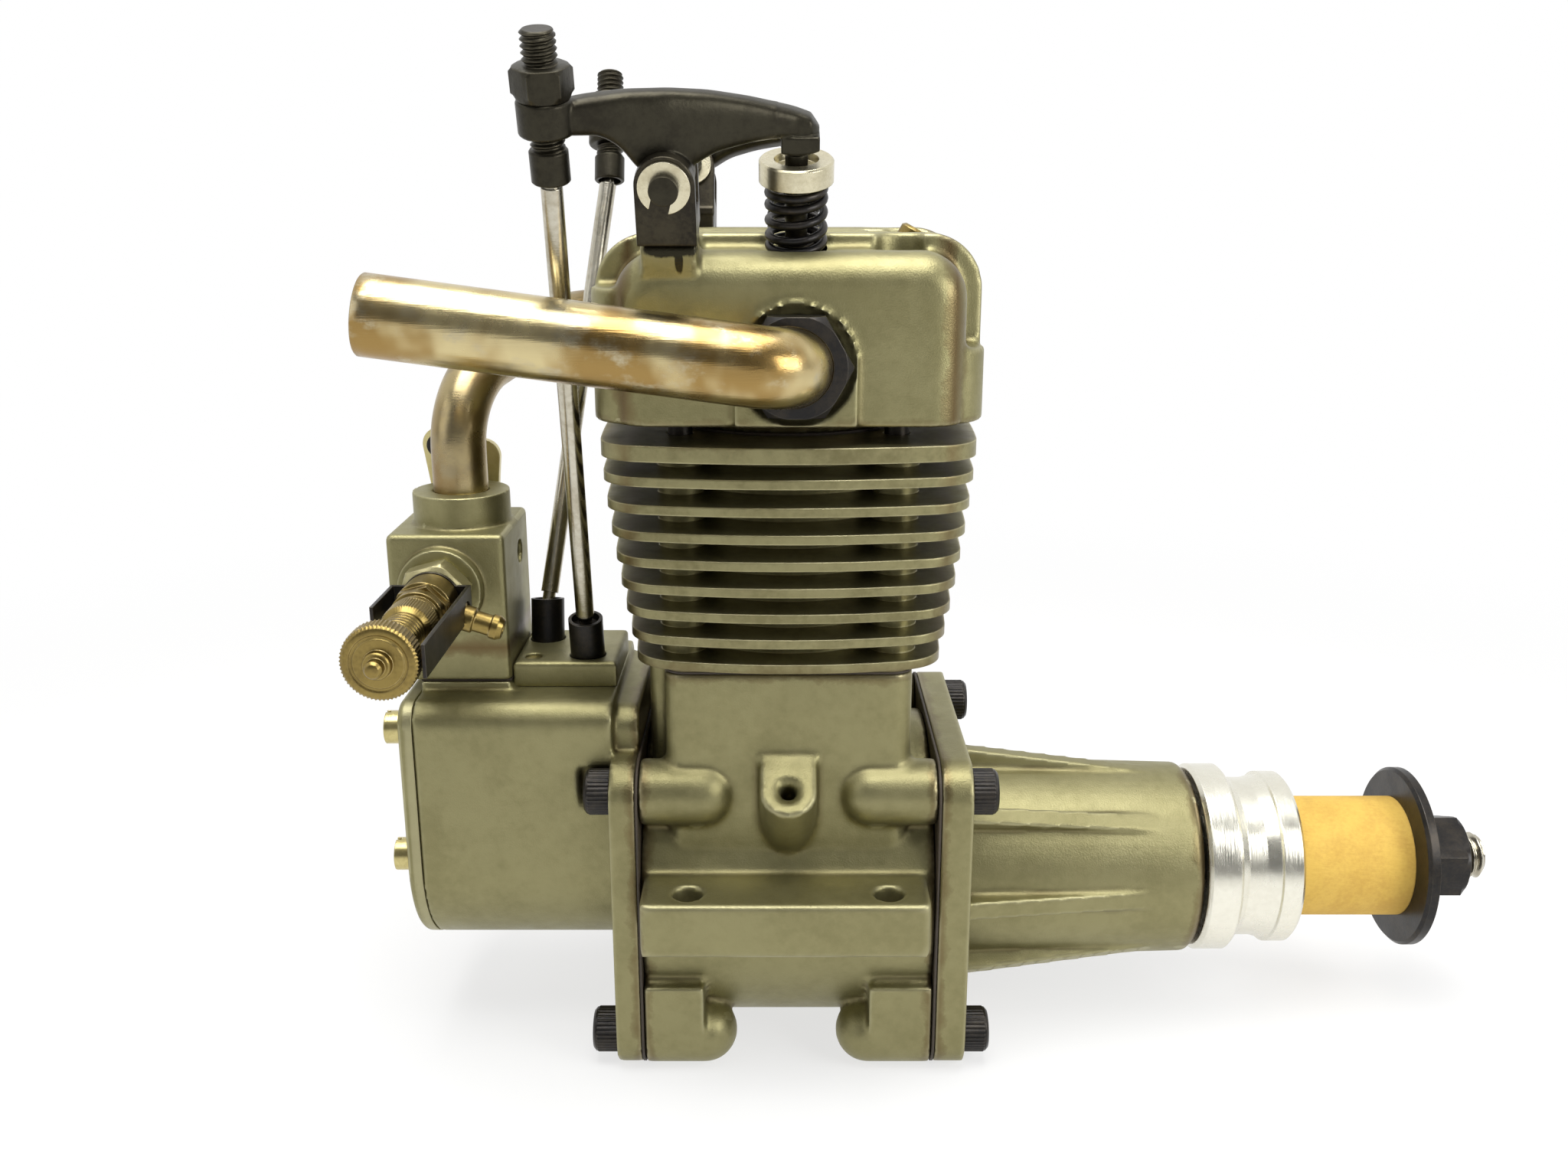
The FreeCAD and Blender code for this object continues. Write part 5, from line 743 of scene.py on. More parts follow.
@dataclass(frozen=True)
class Thread:
    """An outside thread: its crest radius, pitch and length along the axis."""

    radius: float
    pitch: float
    start: float
    end: float
    depth_share: float = 0.54

    def grid(self, stand: Stand, columns: int = 48, per_pitch: int = 8) -> np.ndarray:
        """Threaded rod with bevelled, closed ends.

        r = radius - depth * |2 frac(z / pitch - t / turn) - 1|, and the bevel keeps r below radius - depth +
        1.2 times the distance to the nearer end.

        Args:
            stand: Where it stands.
            columns: Points round it.
            per_pitch: Rows to each turn of the thread.

        Returns:
            A grid of points.
        """
        rows = max(4, int((self.end - self.start) / self.pitch * per_pitch))
        height = np.linspace(self.start, self.end, rows)[:, None]
        angle = (np.arange(columns) * TURN / columns)[None, :]
        depth = self.pitch * self.depth_share
        wave = np.abs(2.0 * ((height / self.pitch - angle / TURN) % 1.0) - 1.0)
        radius = self.radius - depth * wave
        inset = np.minimum(height - self.start, self.end - height)
        radius = np.minimum(radius, self.radius - depth + 1.2 * inset)
        full = np.broadcast_to(height, radius.shape)
        grid = np.stack((radius * np.cos(angle), radius * np.sin(angle), full), -1)
        ends = [np.broadcast_to(np.array((0.0, 0.0, value)), (1, columns, 3))
                for value in (self.start, self.end)]
        return stand.carry(np.concatenate((ends[0], grid, ends[1])))


def tube_along(path: np.ndarray, radii: np.ndarray, columns: int = 40,
               up: Vec = (0.0, 0.0, 1.0)) -> np.ndarray:
    """Round tube whose rings stand square to a path.

    The ring at a point p with side s and rise n is p + r (s cos t + n sin t), where s is up x tangent.

    Args:
        path: Points of the centre line.
        radii: Radius at each point, 0 at a closed end.
        columns: Points round it.
        up: A direction that is never along the path.

    Returns:
        A grid of points.
    """
    tangent = np.gradient(path, axis=0)
    tangent /= np.linalg.norm(tangent, axis=1, keepdims=True)
    side = np.cross(np.array(up), tangent)
    side /= np.linalg.norm(side, axis=1, keepdims=True)
    rise = np.cross(tangent, side)
    angle = np.arange(columns) * TURN / columns
    ring = side[:, None, :] * np.cos(angle)[None, :, None] + rise[:, None, :] * np.sin(angle)[None, :, None]
    return path[:, None, :] + radii[:, None, None] * ring


def straight_run(start: np.ndarray, end: np.ndarray, spacing: float) -> np.ndarray:
    """Points along a straight line: start + u (end - start) for even steps of u, at least two."""
    return np.linspace(start, end, max(2, int(np.linalg.norm(end - start) / spacing)))


def smooth_corners(route: np.ndarray, bends: list[float], spacing: float = 0.35) -> np.ndarray:
    """Points along straight runs joined by tangent arcs, as a pipe is bent.

    At a corner the arc of radius b starts b / tan(a / 2) before it, where a is the angle between the runs.

    Args:
        route: The corners, with both ends.
        bends: Radius at each inner corner.
        spacing: Greatest distance between points.

    Returns:
        The path's points.
    """
    pieces, start = [], route[0]
    for corner, before, after, bend in zip(route[1:-1], route[:-2], route[2:], bends):
        inward, outward = before - corner, after - corner
        inward, outward = inward / np.linalg.norm(inward), outward / np.linalg.norm(outward)
        half = math.acos(float(np.clip(inward @ outward, -1, 1))) / 2
        reach = bend / math.tan(half)
        first, last = corner + inward * reach, corner + outward * reach
        middle = (inward + outward) / np.linalg.norm(inward + outward)
        centre = corner + middle * bend / math.sin(half)
        sweep = math.pi - 2 * half
        share = np.linspace(0, 1, max(3, int(bend * sweep / spacing)))[:, None]
        a, b = first - centre, last - centre
        arc = centre + (a * np.sin((1 - share) * sweep) + b * np.sin(share * sweep)) / math.sin(sweep)
        pieces += [straight_run(start, first, 4 * spacing)[:-1], arc[:-1]]
        start = last
    return np.concatenate([*pieces, straight_run(start, route[-1], 4 * spacing)])


def leaned(x: float, across: float, along: float, side: float) -> np.ndarray:
    """Point of the valve gear: drawn upright, then leaned outwards about X on its own side."""
    y = across * math.cos(LEAN) - along * math.sin(LEAN)
    return np.array((x, -side * y, across * math.sin(LEAN) + along * math.cos(LEAN)))


def leaned_grid(points: np.ndarray, side: float) -> np.ndarray:
    """Leans a whole grid of (x, across, along) points; the far side comes out mirrored."""
    x, across, along = points[..., 0], points[..., 1], points[..., 2]
    y = across * math.cos(LEAN) - along * math.sin(LEAN)
    return np.stack((x, -side * y, across * math.sin(LEAN) + along * math.cos(LEAN)), -1)


def leaned_stand(x: float, across: float, side: float, spin: float = 0.0) -> Stand:
    """Stand whose heights are distances along the leaned axis through (x, across)."""
    return Stand(tuple(leaned(x, across, 0.0, side)), (0.0, side * math.sin(LEAN), math.cos(LEAN)), spin)


def swept_sections(centre: np.ndarray, half_width: np.ndarray, half_height: np.ndarray, power: float,
                   columns: int = 48) -> np.ndarray:
    """Bar along X whose sections are superellipses in the across-along plane.

    At angle t the point is centre + (0, w sgn(cos t) |cos t|^(2/p), h sgn(sin t) |sin t|^(2/p)).

    Args:
        centre: Points (x, across, along) of the sections' middles.
        half_width: Half width of each section.
        half_height: Half height of each section.
        power: 2 for an ellipse, more for a squarer section.
        columns: Points round it.

    Returns:
        A grid whose first and last rows are points.
    """
    angle = np.arange(columns) * TURN / columns
    wide = np.sign(np.cos(angle)) * np.abs(np.cos(angle)) ** (2 / power)
    high = np.sign(np.sin(angle)) * np.abs(np.sin(angle)) ** (2 / power)
    grid = np.repeat(centre[:, None, :], columns, axis=1)
    grid[..., 1] += half_width[:, None] * wide
    grid[..., 2] += half_height[:, None] * high
    first, last = grid[:1].mean(1, keepdims=True), grid[-1:].mean(1, keepdims=True)
    return np.concatenate((np.repeat(first, columns, 1), grid, np.repeat(last, columns, 1)))


def baked(piece: bpy.types.Object) -> bpy.types.Object:
    """Applies every modifier of a piece to its mesh."""
    graph = bpy.context.evaluated_depsgraph_get()
    mesh = bpy.data.meshes.new_from_object(piece.evaluated_get(graph))
    old = piece.data
    piece.modifiers.clear()
    piece.data = mesh
    bpy.data.meshes.remove(old)
    return piece


def fused(piece: bpy.types.Object, voxel: float, rounds: int) -> bpy.types.Object:
    """Joins a piece's overlapping forms into one skin with soft inner corners.

    Args:
        piece: A mesh object of closed forms.
        voxel: Size of the remesh's voxels, in millimetres.
        rounds: Rounds of smoothing after it.

    Returns:
        The same piece with its new mesh.
    """
    fuse = piece.modifiers.new("fuse", "REMESH")
    fuse.mode = "VOXEL"
    fuse.voxel_size = voxel * MM
    fuse.use_smooth_shade = True
    if rounds:
        soften = piece.modifiers.new("soften", "SMOOTH")
        soften.factor = 0.5
        soften.iterations = rounds
    return baked(piece)


def merged_copy(node: bpy.types.Object, name: str) -> bpy.types.Object:
    """Copies a CAD node's mesh into a new object and merges its loose triangles.

    Args:
        node: The CAD node.
        name: The new piece's name.

    Returns:
        The new object, at the origin.
    """
    mesh = node.data.copy()
    mesh.materials.clear()
    work = bmesh.new()
    work.from_mesh(mesh)
    bmesh.ops.remove_doubles(work, verts=work.verts, dist=SEAM * MM)
    work.to_mesh(mesh)
    work.free()
    piece = bpy.data.objects.new(name, mesh)
    bpy.context.scene.collection.objects.link(piece)
    return piece


# The studio


@dataclass
class Studio:
    """Pale floor, plain soft light and the photograph's camera, in millimetres and degrees."""

    floor_z: float = -20.0
    camera_place: Vec = (-0.5, -170.9, 85.6)
    camera_pitch: float = 74.0
    lens: float = 32.7

    def build(self) -> None:
        """Adds the floor, the world, the lamps and the camera."""
        self._floor()
        self._world()
        self._lamp("overhead", (-20.0, -55.0, 340.0), (0.0, 0.0, 30.0), 260.0, 1.45)
        self._lamp("window", (-330.0, -180.0, 180.0), (0.0, 0.0, 30.0), 240.0, 0.2)
        self._lamp("nose_side", (190.0, -130.0, 120.0), (60.0, 0.0, 0.0), 120.0, 0.3)
        self._camera()
        bpy.context.scene.view_settings.view_transform = "Standard"

    def _camera(self) -> None:
        """Adds the camera: no yaw, pitched down from level."""
        data = bpy.data.cameras.new("camera")
        data.lens = self.lens
        data.sensor_width = 36.0
        data.clip_start = 0.005
        camera = bpy.data.objects.new("camera", data)
        camera.location = [value * MM for value in self.camera_place]
        camera.rotation_euler = (math.radians(self.camera_pitch), 0.0, 0.0)
        bpy.context.scene.collection.objects.link(camera)
        bpy.context.scene.camera = camera

    def _lamp(self, name: str, place: Vec, aim: Vec, size: float, power: float) -> None:
        """Adds a square area lamp that faces a point."""
        data = bpy.data.lights.new(name, "AREA")
        data.size = size * MM
        data.energy = power
        lamp = bpy.data.objects.new(name, data)
        start, end = np.array(place) * MM, np.array(aim) * MM
        lamp.location = start
        heading = end - start
        flat = math.hypot(heading[0], heading[1])
        spin = math.atan2(heading[0], -heading[1]) + math.pi
        lamp.rotation_euler = (math.atan2(flat, -heading[2]), 0.0, spin)
        bpy.context.scene.collection.objects.link(lamp)

    def _world(self) -> None:
        """White behind the object, a greyer room in front of it, and less light on surfaces without gloss."""
        world = bpy.data.worlds.new("studio")
        world.use_nodes = True
        bpy.context.scene.world = world
        wire = Wiring(world.node_tree)
        back = world.node_tree.nodes["Background"]
        direction = wire.node("ShaderNodeTexCoord").outputs["Generated"]
        _, y, z = wire.split(direction)
        behind = wire.ramp(wire.math("MULTIPLY_ADD", z, 0.35, y), -0.25, 0.35)
        rays = wire.node("ShaderNodeLightPath")
        matt = wire.math("MULTIPLY_ADD", behind, 0.4, 0.2)
        gloss = wire.math("MULTIPLY_ADD", behind, 0.82, 0.18)
        level = self._blend(wire, rays.outputs["Is Glossy Ray"], matt, gloss)
        back.inputs["Color"].default_value = WHITE
        wire.feed(back.inputs["Strength"], self._blend(wire, self._seen(wire, rays), level, 1.0))

    def _seen(self, wire: Wiring, rays: bpy.types.Node) -> bpy.types.NodeSocket:
        """Returns 1 for a ray from the camera or through glass, and 0 for any other."""
        camera, glass = rays.outputs["Is Camera Ray"], rays.outputs["Is Transmission Ray"]
        return wire.math("ADD", camera, glass, clamp=True)

    def _blend(self, wire: Wiring, share: object, first: object, second: object) -> bpy.types.NodeSocket:
        """Mixes two numbers by a share."""
        made = wire.node("ShaderNodeMix", data_type="FLOAT")
        for socket, value in zip((made.inputs[0], made.inputs[2], made.inputs[3]), (share, first, second)):
            wire.feed(socket, value)
        return made.outputs[0]

    def _floor(self) -> None:
        """A wide pale floor that melts into the background and keeps the object's shadow."""
        reach = 6.0
        corners = np.array([(-reach, -reach), (reach, -reach), (reach, reach), (-reach, reach)])
        points = [(x, y, self.floor_z * MM - 0.00002) for x, y in corners]
        mesh = bpy.data.meshes.new("floor")
        mesh.from_pydata(points, [], [(0, 1, 2, 3)])
        floor = bpy.data.objects.new("floor", mesh)
        bpy.context.scene.collection.objects.link(floor)
        made = bpy.data.materials.new("pale_floor")
        made.use_nodes = True
        wire = Wiring(made.node_tree)
        shader = made.node_tree.nodes["Principled BSDF"]
        shader.inputs["Base Color"].default_value = (0.9, 0.895, 0.88, 1.0)
        shader.inputs["Roughness"].default_value = 0.8
        glow = wire.node("ShaderNodeEmission")
        glow.inputs["Color"].default_value = WHITE
        rays = wire.node("ShaderNodeLightPath")
        mix = wire.node("ShaderNodeMixShader")
        away = wire.node("ShaderNodeVectorMath", operation="LENGTH")
        wire.feed(away.inputs[0], wire.place())
        share = wire.math("MULTIPLY_ADD", wire.ramp(away.outputs["Value"], 0.09, 0.3), 0.3, 0.7)
        seen = wire.math("ADD", self._seen(wire, rays), rays.outputs["Is Glossy Ray"], clamp=True)
        wire.feed(mix.inputs[0], wire.math("MULTIPLY", seen, share))
        wire.feed(mix.inputs[1], shader.outputs[0])
        wire.feed(mix.inputs[2], glow.outputs[0])
        wire.feed(made.node_tree.nodes["Material Output"].inputs["Surface"], mix.outputs[0])
        mesh.materials.append(made)


# Sub-assemblies


@dataclass
class SubAssembly:
    """Pieces that belong together, with the frame's nodes and the materials that they use."""

    nodes: dict[str, bpy.types.Object]
    palette: Palette

    def seat(self, piece: bpy.types.Object, body: str, finish: Finish, slot: str, *replaced: str) -> None:
        """Dresses a finished piece, puts it on its body and lets it stand for CAD nodes.

        Args:
            piece: The mesh object.
            body: The CAD body that it moves with.
            finish: Its finish.
            slot: A material slot name; not used.
            *replaced: CAD nodes that it stands for.
        """
        self.palette.dress(piece, finish)
        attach(piece, body)
        if replaced:
            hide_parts(*replaced)
        LOG.info("%s: %d faces", piece.name, len(piece.data.polygons))


@dataclass
class ValveGear(SubAssembly):
    """Rocker, adjusting screw and spring of one valve."""

    kind: str = "exhaust"
    valve_x: float = 0.8
    valve_across: float = 14.93
    pivot_x: float = -12.4
    pivot_across: float = 9.7
    pivot_along: float = 88.1
    adjuster_x: float = -23.5
    adjuster_across: float = 6.26
    eye_low: float = 93.3
    eye_top: float = 96.8
    spring_radius: float = 3.4
    spring_wire: float = 0.46
    spring_low: float = 77.6
    spring_top: float = 85.56
    spring_coils: float = 5.3
    valve_lift: float = 2.47
    pad_face: float = 88.72
    pad_curve: float = 6.0
    back_line: tuple[tuple[float, ...], ...] = (
        (-23.5, -20.0, -16.0, -12.0, -8.0, -4.0, 0.0, 2.2, 3.2),
        (96.2, 96.7, 96.85, 96.6, 95.9, 94.8, 93.4, 92.5, 91.7))
    belly_line: tuple[tuple[float, ...], ...] = (
        (-23.5, -18.4, -16.2, -14.9, -10.0, -7.4, -4.0, -1.0, 1.5, 3.2),
        (93.4, 92.9, 91.2, 88.6, 88.6, 89.9, 90.4, 90.5, 90.35, 90.3))
    half_widths: tuple[tuple[float, ...], ...] = (
        (-23.5, -19.0, -15.5, -9.0, -5.0, 0.0, 2.4, 3.2),
        (1.95, 1.75, 1.8, 1.8, 1.65, 1.6, 1.6, 1.5))

    @property
    def side(self) -> float:
        """Returns -1 on the near side and 1 on the far side."""
        return SIDES[self.kind]

    def build(self) -> None:
        """Makes the three pieces."""
        self._spring()
        self._rocker()
        self._adjuster()

    def _spring(self) -> None:
        """Coil spring whose pitch closes up at both ends, as wire is wound.

        The wire's height follows z = low + h (u - 0.055 sin(2 pi u)) for u from 0 to 1.
        """
        u = np.linspace(0.0, 1.0, int(self.spring_coils * 40))
        angle = u * TURN * self.spring_coils
        middle = self.spring_radius - self.spring_wire
        low, high = self.spring_low + self.spring_wire, self.spring_top - self.spring_wire
        height = low + (high - low) * (u - 0.055 * np.sin(TURN * u))
        path = np.stack((self.valve_x + middle * np.cos(angle), self.valve_across + middle * np.sin(angle),
                         height), -1)
        radii = np.full(len(path), self.spring_wire)
        path = np.concatenate((path[:1], path, path[-1:]))
        radii = np.concatenate(([0.0], radii, [0.0]))
        ring = tube_along(path, radii, 12)
        surface = Surface(f"{self.kind}_wound_spring", 60.0).add(leaned_grid(ring, self.side), self.side > 0)
        piece = surface.build()
        self.seat(piece, "engine", BLACK_STEEL, "black_steel", f"{self.kind}_valve_spring")
        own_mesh(piece)

    def _keep(self) -> float:
        """Returns the share of the spring's length that is left when the valve is wide open."""
        return 1.0 - self.valve_lift / (self.spring_top - self.spring_low)

    def _rocker(self) -> None:
        """Forged arm: an arched bar fused with its pivot hub, its adjuster eye and the pad over the valve."""
        x = np.concatenate((np.linspace(self.adjuster_x, self.valve_x - 2.0, 80),
                            np.linspace(self.valve_x - 1.95, self.valve_x + 2.35, 60)))
        top, low = np.interp(x, *self.back_line), np.interp(x, *self.belly_line)
        across = np.interp(x, (self.adjuster_x, self.pivot_x, self.valve_x, 3.2),
                           (self.adjuster_across, self.pivot_across, self.valve_across, 15.2))
        wide = np.interp(x, *self.half_widths)
        ends = np.minimum(1.0, np.sqrt(np.clip((x[-1] + 0.05 - x) / 0.9, 0.02, 1.0)))
        kernel = np.ones(7) / 7
        smooth = [np.convolve(np.pad(row, 3, mode="edge"), kernel, mode="valid")
                  for row in (top, low, across)]
        centre = np.stack((x, smooth[2], (smooth[0] + smooth[1]) / 2), -1)
        arm = swept_sections(centre, wide * ends, (smooth[0] - smooth[1]) / 2 * ends, 3.2)
        pad_x = np.linspace(self.valve_x - 1.6, self.valve_x + 2.38, 24)
        drop = self.pad_curve - np.sqrt(self.pad_curve ** 2 - (pad_x - self.valve_x) ** 2)
        pad_low, pad_top = self.pad_face + drop, np.full(24, 90.7)
        pad = swept_sections(np.stack((pad_x, np.full(24, self.valve_across), (pad_low + pad_top) / 2), -1),
                             np.full(24, 1.9), (pad_top - pad_low) / 2, 12.0)
        surface = Surface(f"{self.kind}_forged_rocker")
        surface.add(leaned_grid(arm, self.side), self.side > 0)
        surface.add(leaned_grid(pad, self.side), self.side > 0)
        hub_axis = leaned_grid(np.array([[0.0, 1.0, 0.0]]), self.side)[0]
        pivot = leaned(self.pivot_x, self.pivot_across, self.pivot_along, self.side)
        hub = Stand(tuple(pivot), tuple(hub_axis))
        surface.add(turned([Station(-1.85, 0.0), Station(-1.85, 2.6), Station(-1.6, 2.9), Station(1.6, 2.9),
                            Station(1.85, 2.6), Station(1.85, 0.0)], hub, 64))
        eye = leaned_stand(self.adjuster_x, self.adjuster_across, self.side)
        surface.add(turned([Station(self.eye_low, 0.0), Station(self.eye_low, 2.5),
                            Station(self.eye_low + 0.25, 2.75), Station(self.eye_top - 0.25, 2.75),
                            Station(self.eye_top, 2.5), Station(self.eye_top, 0.0)], eye, 64))
        piece = fused(surface.build(), 0.12, 3)
        self.seat(piece, f"{self.kind}_rocker_arm", ROCKER_STEEL, "rocker_steel", f"{self.kind}_rocker")

    def _adjuster(self) -> None:
        """Adjusting screw with real threads, its bevelled lock nut, and the plain cup over the pushrod."""
        stand = leaned_stand(self.adjuster_x, self.adjuster_across, self.side, 12.0)
        cup = [Station(89.9, 0.0), Station(89.9, 1.45), Station(88.6, 1.5), Station(88.6, 1.8),
               Station(88.75, 1.95), Station(91.7, 1.95), Station(91.9, 1.8), Station(91.9, 0.0)]
        lock = [Station(96.8, 0.0), Station(96.8, 2.6), Station(97.15, 2.65, Section.HEXAGON, 2.75),
                Station(97.45, 2.65, Section.HEXAGON), Station(99.5, 2.65, Section.HEXAGON),
                Station(99.85, 2.65, Section.HEXAGON, 2.72), Station(100.0, 2.3), Station(100.0, 0.0)]
        surface = Surface(f"{self.kind}_threaded_adjuster")
        surface.add(turned(cup, stand, 48)).add(turned(lock, stand, 72))
        surface.add(Thread(1.75, 0.62, 99.7, 103.2).grid(stand))
        surface.add(Thread(1.75, 0.62, 91.6, 93.6).grid(stand))
        self.seat(surface.build(), f"{self.kind}_rocker_arm", ROCKER_STEEL, "rocker_steel",
                  f"{self.kind}_adjuster")


@dataclass
class Brackets(SubAssembly):
    """Rocker brackets from their CAD mesh, with rounded edges and a foot that meets the head."""

    pivot_x: float = -12.4
    half_x: float = 2.95
    foot: tuple[tuple[float, float], ...] = ((-20.1, 80.3), (-20.1, 78.45), (-15.6, 78.45), (-15.6, 82.2))

    def build(self) -> None:
        """Makes both brackets as one piece."""
        piece = merged_copy(self.nodes["rocker_brackets"], "footed_brackets")
        work = bmesh.new()
        work.from_mesh(piece.data)
        for side in (1.0, -1.0):
            outline = np.array(self.foot if side > 0 else self.foot[::-1])
            ends = [np.column_stack((np.full(4, self.pivot_x + step), outline[:, 0] * side, outline[:, 1]))
                    for step in (-self.half_x, self.half_x)]
            corners = [work.verts.new(point) for point in (np.concatenate(ends) * MM).tolist()]
            for face in ((3, 2, 1, 0), (4, 5, 6, 7), (0, 1, 5, 4), (1, 2, 6, 5), (2, 3, 7, 6), (3, 0, 4, 7)):
                work.faces.new([corners[index] for index in face])
        bmesh.ops.recalc_face_normals(work, faces=work.faces)
        work.to_mesh(piece.data)
        work.free()
        self.seat(fused(piece, 0.14, 3), "engine", BRACKET_STEEL, "black_steel", "rocker_brackets")


@dataclass
class CapScrews(SubAssembly):
    """Knurled socket cap screws of the flanges and of the head."""

    flange_y: float = 15.5
    flange_z: float = 16.0
    front_x: float = 21.6
    rear_x: float = -20.9
    head_radius: float = 2.75
    head_height: float = 3.1
    bolt_x: float = 12.2
    bolt_y: float = 12.0
    bolt_z: float = 70.0
    bolt_radius: float = 2.6
    bolt_height: float = 2.8

    def build(self) -> None:
        """Makes the eight flange screws and the four head bolts."""
        flange = Surface("knurled_flange_screws", 24.0)
        for y in (-self.flange_y, self.flange_y):
            for z in (-self.flange_z, self.flange_z):
                turn = 7.0 * y + 3.0 * z
                front = Stand((self.front_x, y, z), (1.0, 0.0, 0.0), turn)
                rear = Stand((self.rear_x, y, z), (-1.0, 0.0, 0.0), turn + 20.0)
                flange.add(self._screw(front, self.head_radius, self.head_height, 5.0))
                flange.add(self._screw(rear, self.head_radius, self.head_height, 5.0))
        self.seat(flange.build(), "engine", BLACK_STEEL, "black_steel", "case_screws")
        head = Surface("knurled_head_bolts", 24.0)
        depth = self.bolt_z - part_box("head_bolts")[0].z / MM
        for x in (-self.bolt_x, self.bolt_x):
            for y in (-self.bolt_y, self.bolt_y):
                stand = Stand((x, y, self.bolt_z), (0.0, 0.0, 1.0), 5.0 * x + y)
                head.add(self._screw(stand, self.bolt_radius, self.bolt_height, depth))
        self.seat(head.build(), "engine", BLACK_STEEL, "black_steel", "head_bolts")

    def _screw(self, stand: Stand, radius: float, height: float, shank: float) -> np.ndarray:
        """Screw with a knurled head, a bevelled top and a hexagon socket.

        Args:
            stand: The head's seat and its direction.
            radius: Radius of the head.
            height: Height of the head.
            shank: Length below the head.

        Returns:
            A grid of points.
        """
        knurl, hexagon = Section.KNURL, Section.HEXAGON
        stations = [Station(-shank, 0.0), Station(-shank, 1.4), Station(0.0, 1.4),
                    Station(0.0, radius - 0.25), Station(0.12, radius, knurl),
                    Station(height - 0.55, radius, knurl),
                    Station(height - 0.5, radius - 0.09), Station(height - 0.3, radius - 0.12),
                    Station(height, radius - 0.45), Station(height, 1.4, hexagon),
                    Station(height - 0.12, 1.25, hexagon), Station(height - 1.4, 1.25, hexagon),
                    Station(height - 1.9, 0.0)]
        return turned(stations, stand, 144, 36)


@dataclass
class Nose(SubAssembly):
    """Threaded shaft end and bevelled propeller nut."""

    nut_start: float = 82.0
    nut_end: float = 88.0
    flat: float = 5.0
    thread: float = 3.0
    shaft_end: float = 90.8

    def build(self) -> None:
        """Makes the nut and the shaft."""
        stand = Stand((0.0, 0.0, 0.0), (1.0, 0.0, 0.0), 8.0)
        hexagon = Section.HEXAGON
        bore = self.thread + 0.02
        stations = [Station(self.nut_start, bore), Station(self.nut_start, 5.3),
                    Station(self.nut_start + 0.5, 5.65), Station(self.nut_start + 0.9, 5.65),
                    Station(self.nut_start + 0.95, self.flat, hexagon, 5.75),
                    Station(self.nut_end - 0.9, self.flat, hexagon, 5.75),
                    Station(self.nut_end - 0.25, self.flat, hexagon, 5.05), Station(self.nut_end, 4.6),
                    Station(self.nut_end, bore + 0.3), Station(self.nut_end - 0.3, bore),
                    Station(self.nut_start, bore)]
        nut = Surface("bevelled_prop_nut", 24.0).add(turned(stations, stand, 96)).build()
        self.seat(nut, "crank", BLACK_STEEL, "black_steel", "prop_nut")
        self._shaft(stand)

    def _shaft(self, stand: Stand) -> None:
        """Crankshaft from its CAD mesh, cut off inside the nut, with a cut thread beyond."""
        shaft = merged_copy(self.nodes["crankshaft"], "threaded_crankshaft")
        cut = self.nut_end - 1.0
        work = bmesh.new()
        work.from_mesh(shaft.data)
        geometry = work.verts[:] + work.edges[:] + work.faces[:]
        halved = bmesh.ops.bisect_plane(work, geom=geometry, plane_co=(cut * MM, 0.0, 0.0),
                                        plane_no=(1.0, 0.0, 0.0), clear_outer=True)
        rim = [item for item in halved["geom_cut"] if isinstance(item, bmesh.types.BMEdge)]
        bmesh.ops.edgeloop_fill(work, edges=rim)
        grid = Thread(self.thread, 1.0, cut - 0.5, self.shaft_end).grid(stand, 64, 12) * MM
        rows, columns = grid.shape[:2]
        poles = np.ptp(grid, axis=1).max(axis=1) < 1e-9
        _, faces = grid_faces(rows, columns, poles)
        corners = np.concatenate([row[:1] if pole else row for row, pole in zip(grid, poles)])
        end = bpy.data.meshes.new("thread")
        end.from_pydata(corners.tolist(), [], faces)
        work.from_mesh(end)
        work.to_mesh(shaft.data)
        work.free()
        bpy.data.meshes.remove(end)
        shaft.data.polygons.foreach_set("use_smooth", np.ones(len(shaft.data.polygons), bool))
        shaft.data.set_sharp_from_angle(angle=math.radians(30.0))
        self.seat(shaft, "crank", BRIGHT_STEEL, "bright_steel", "crankshaft")


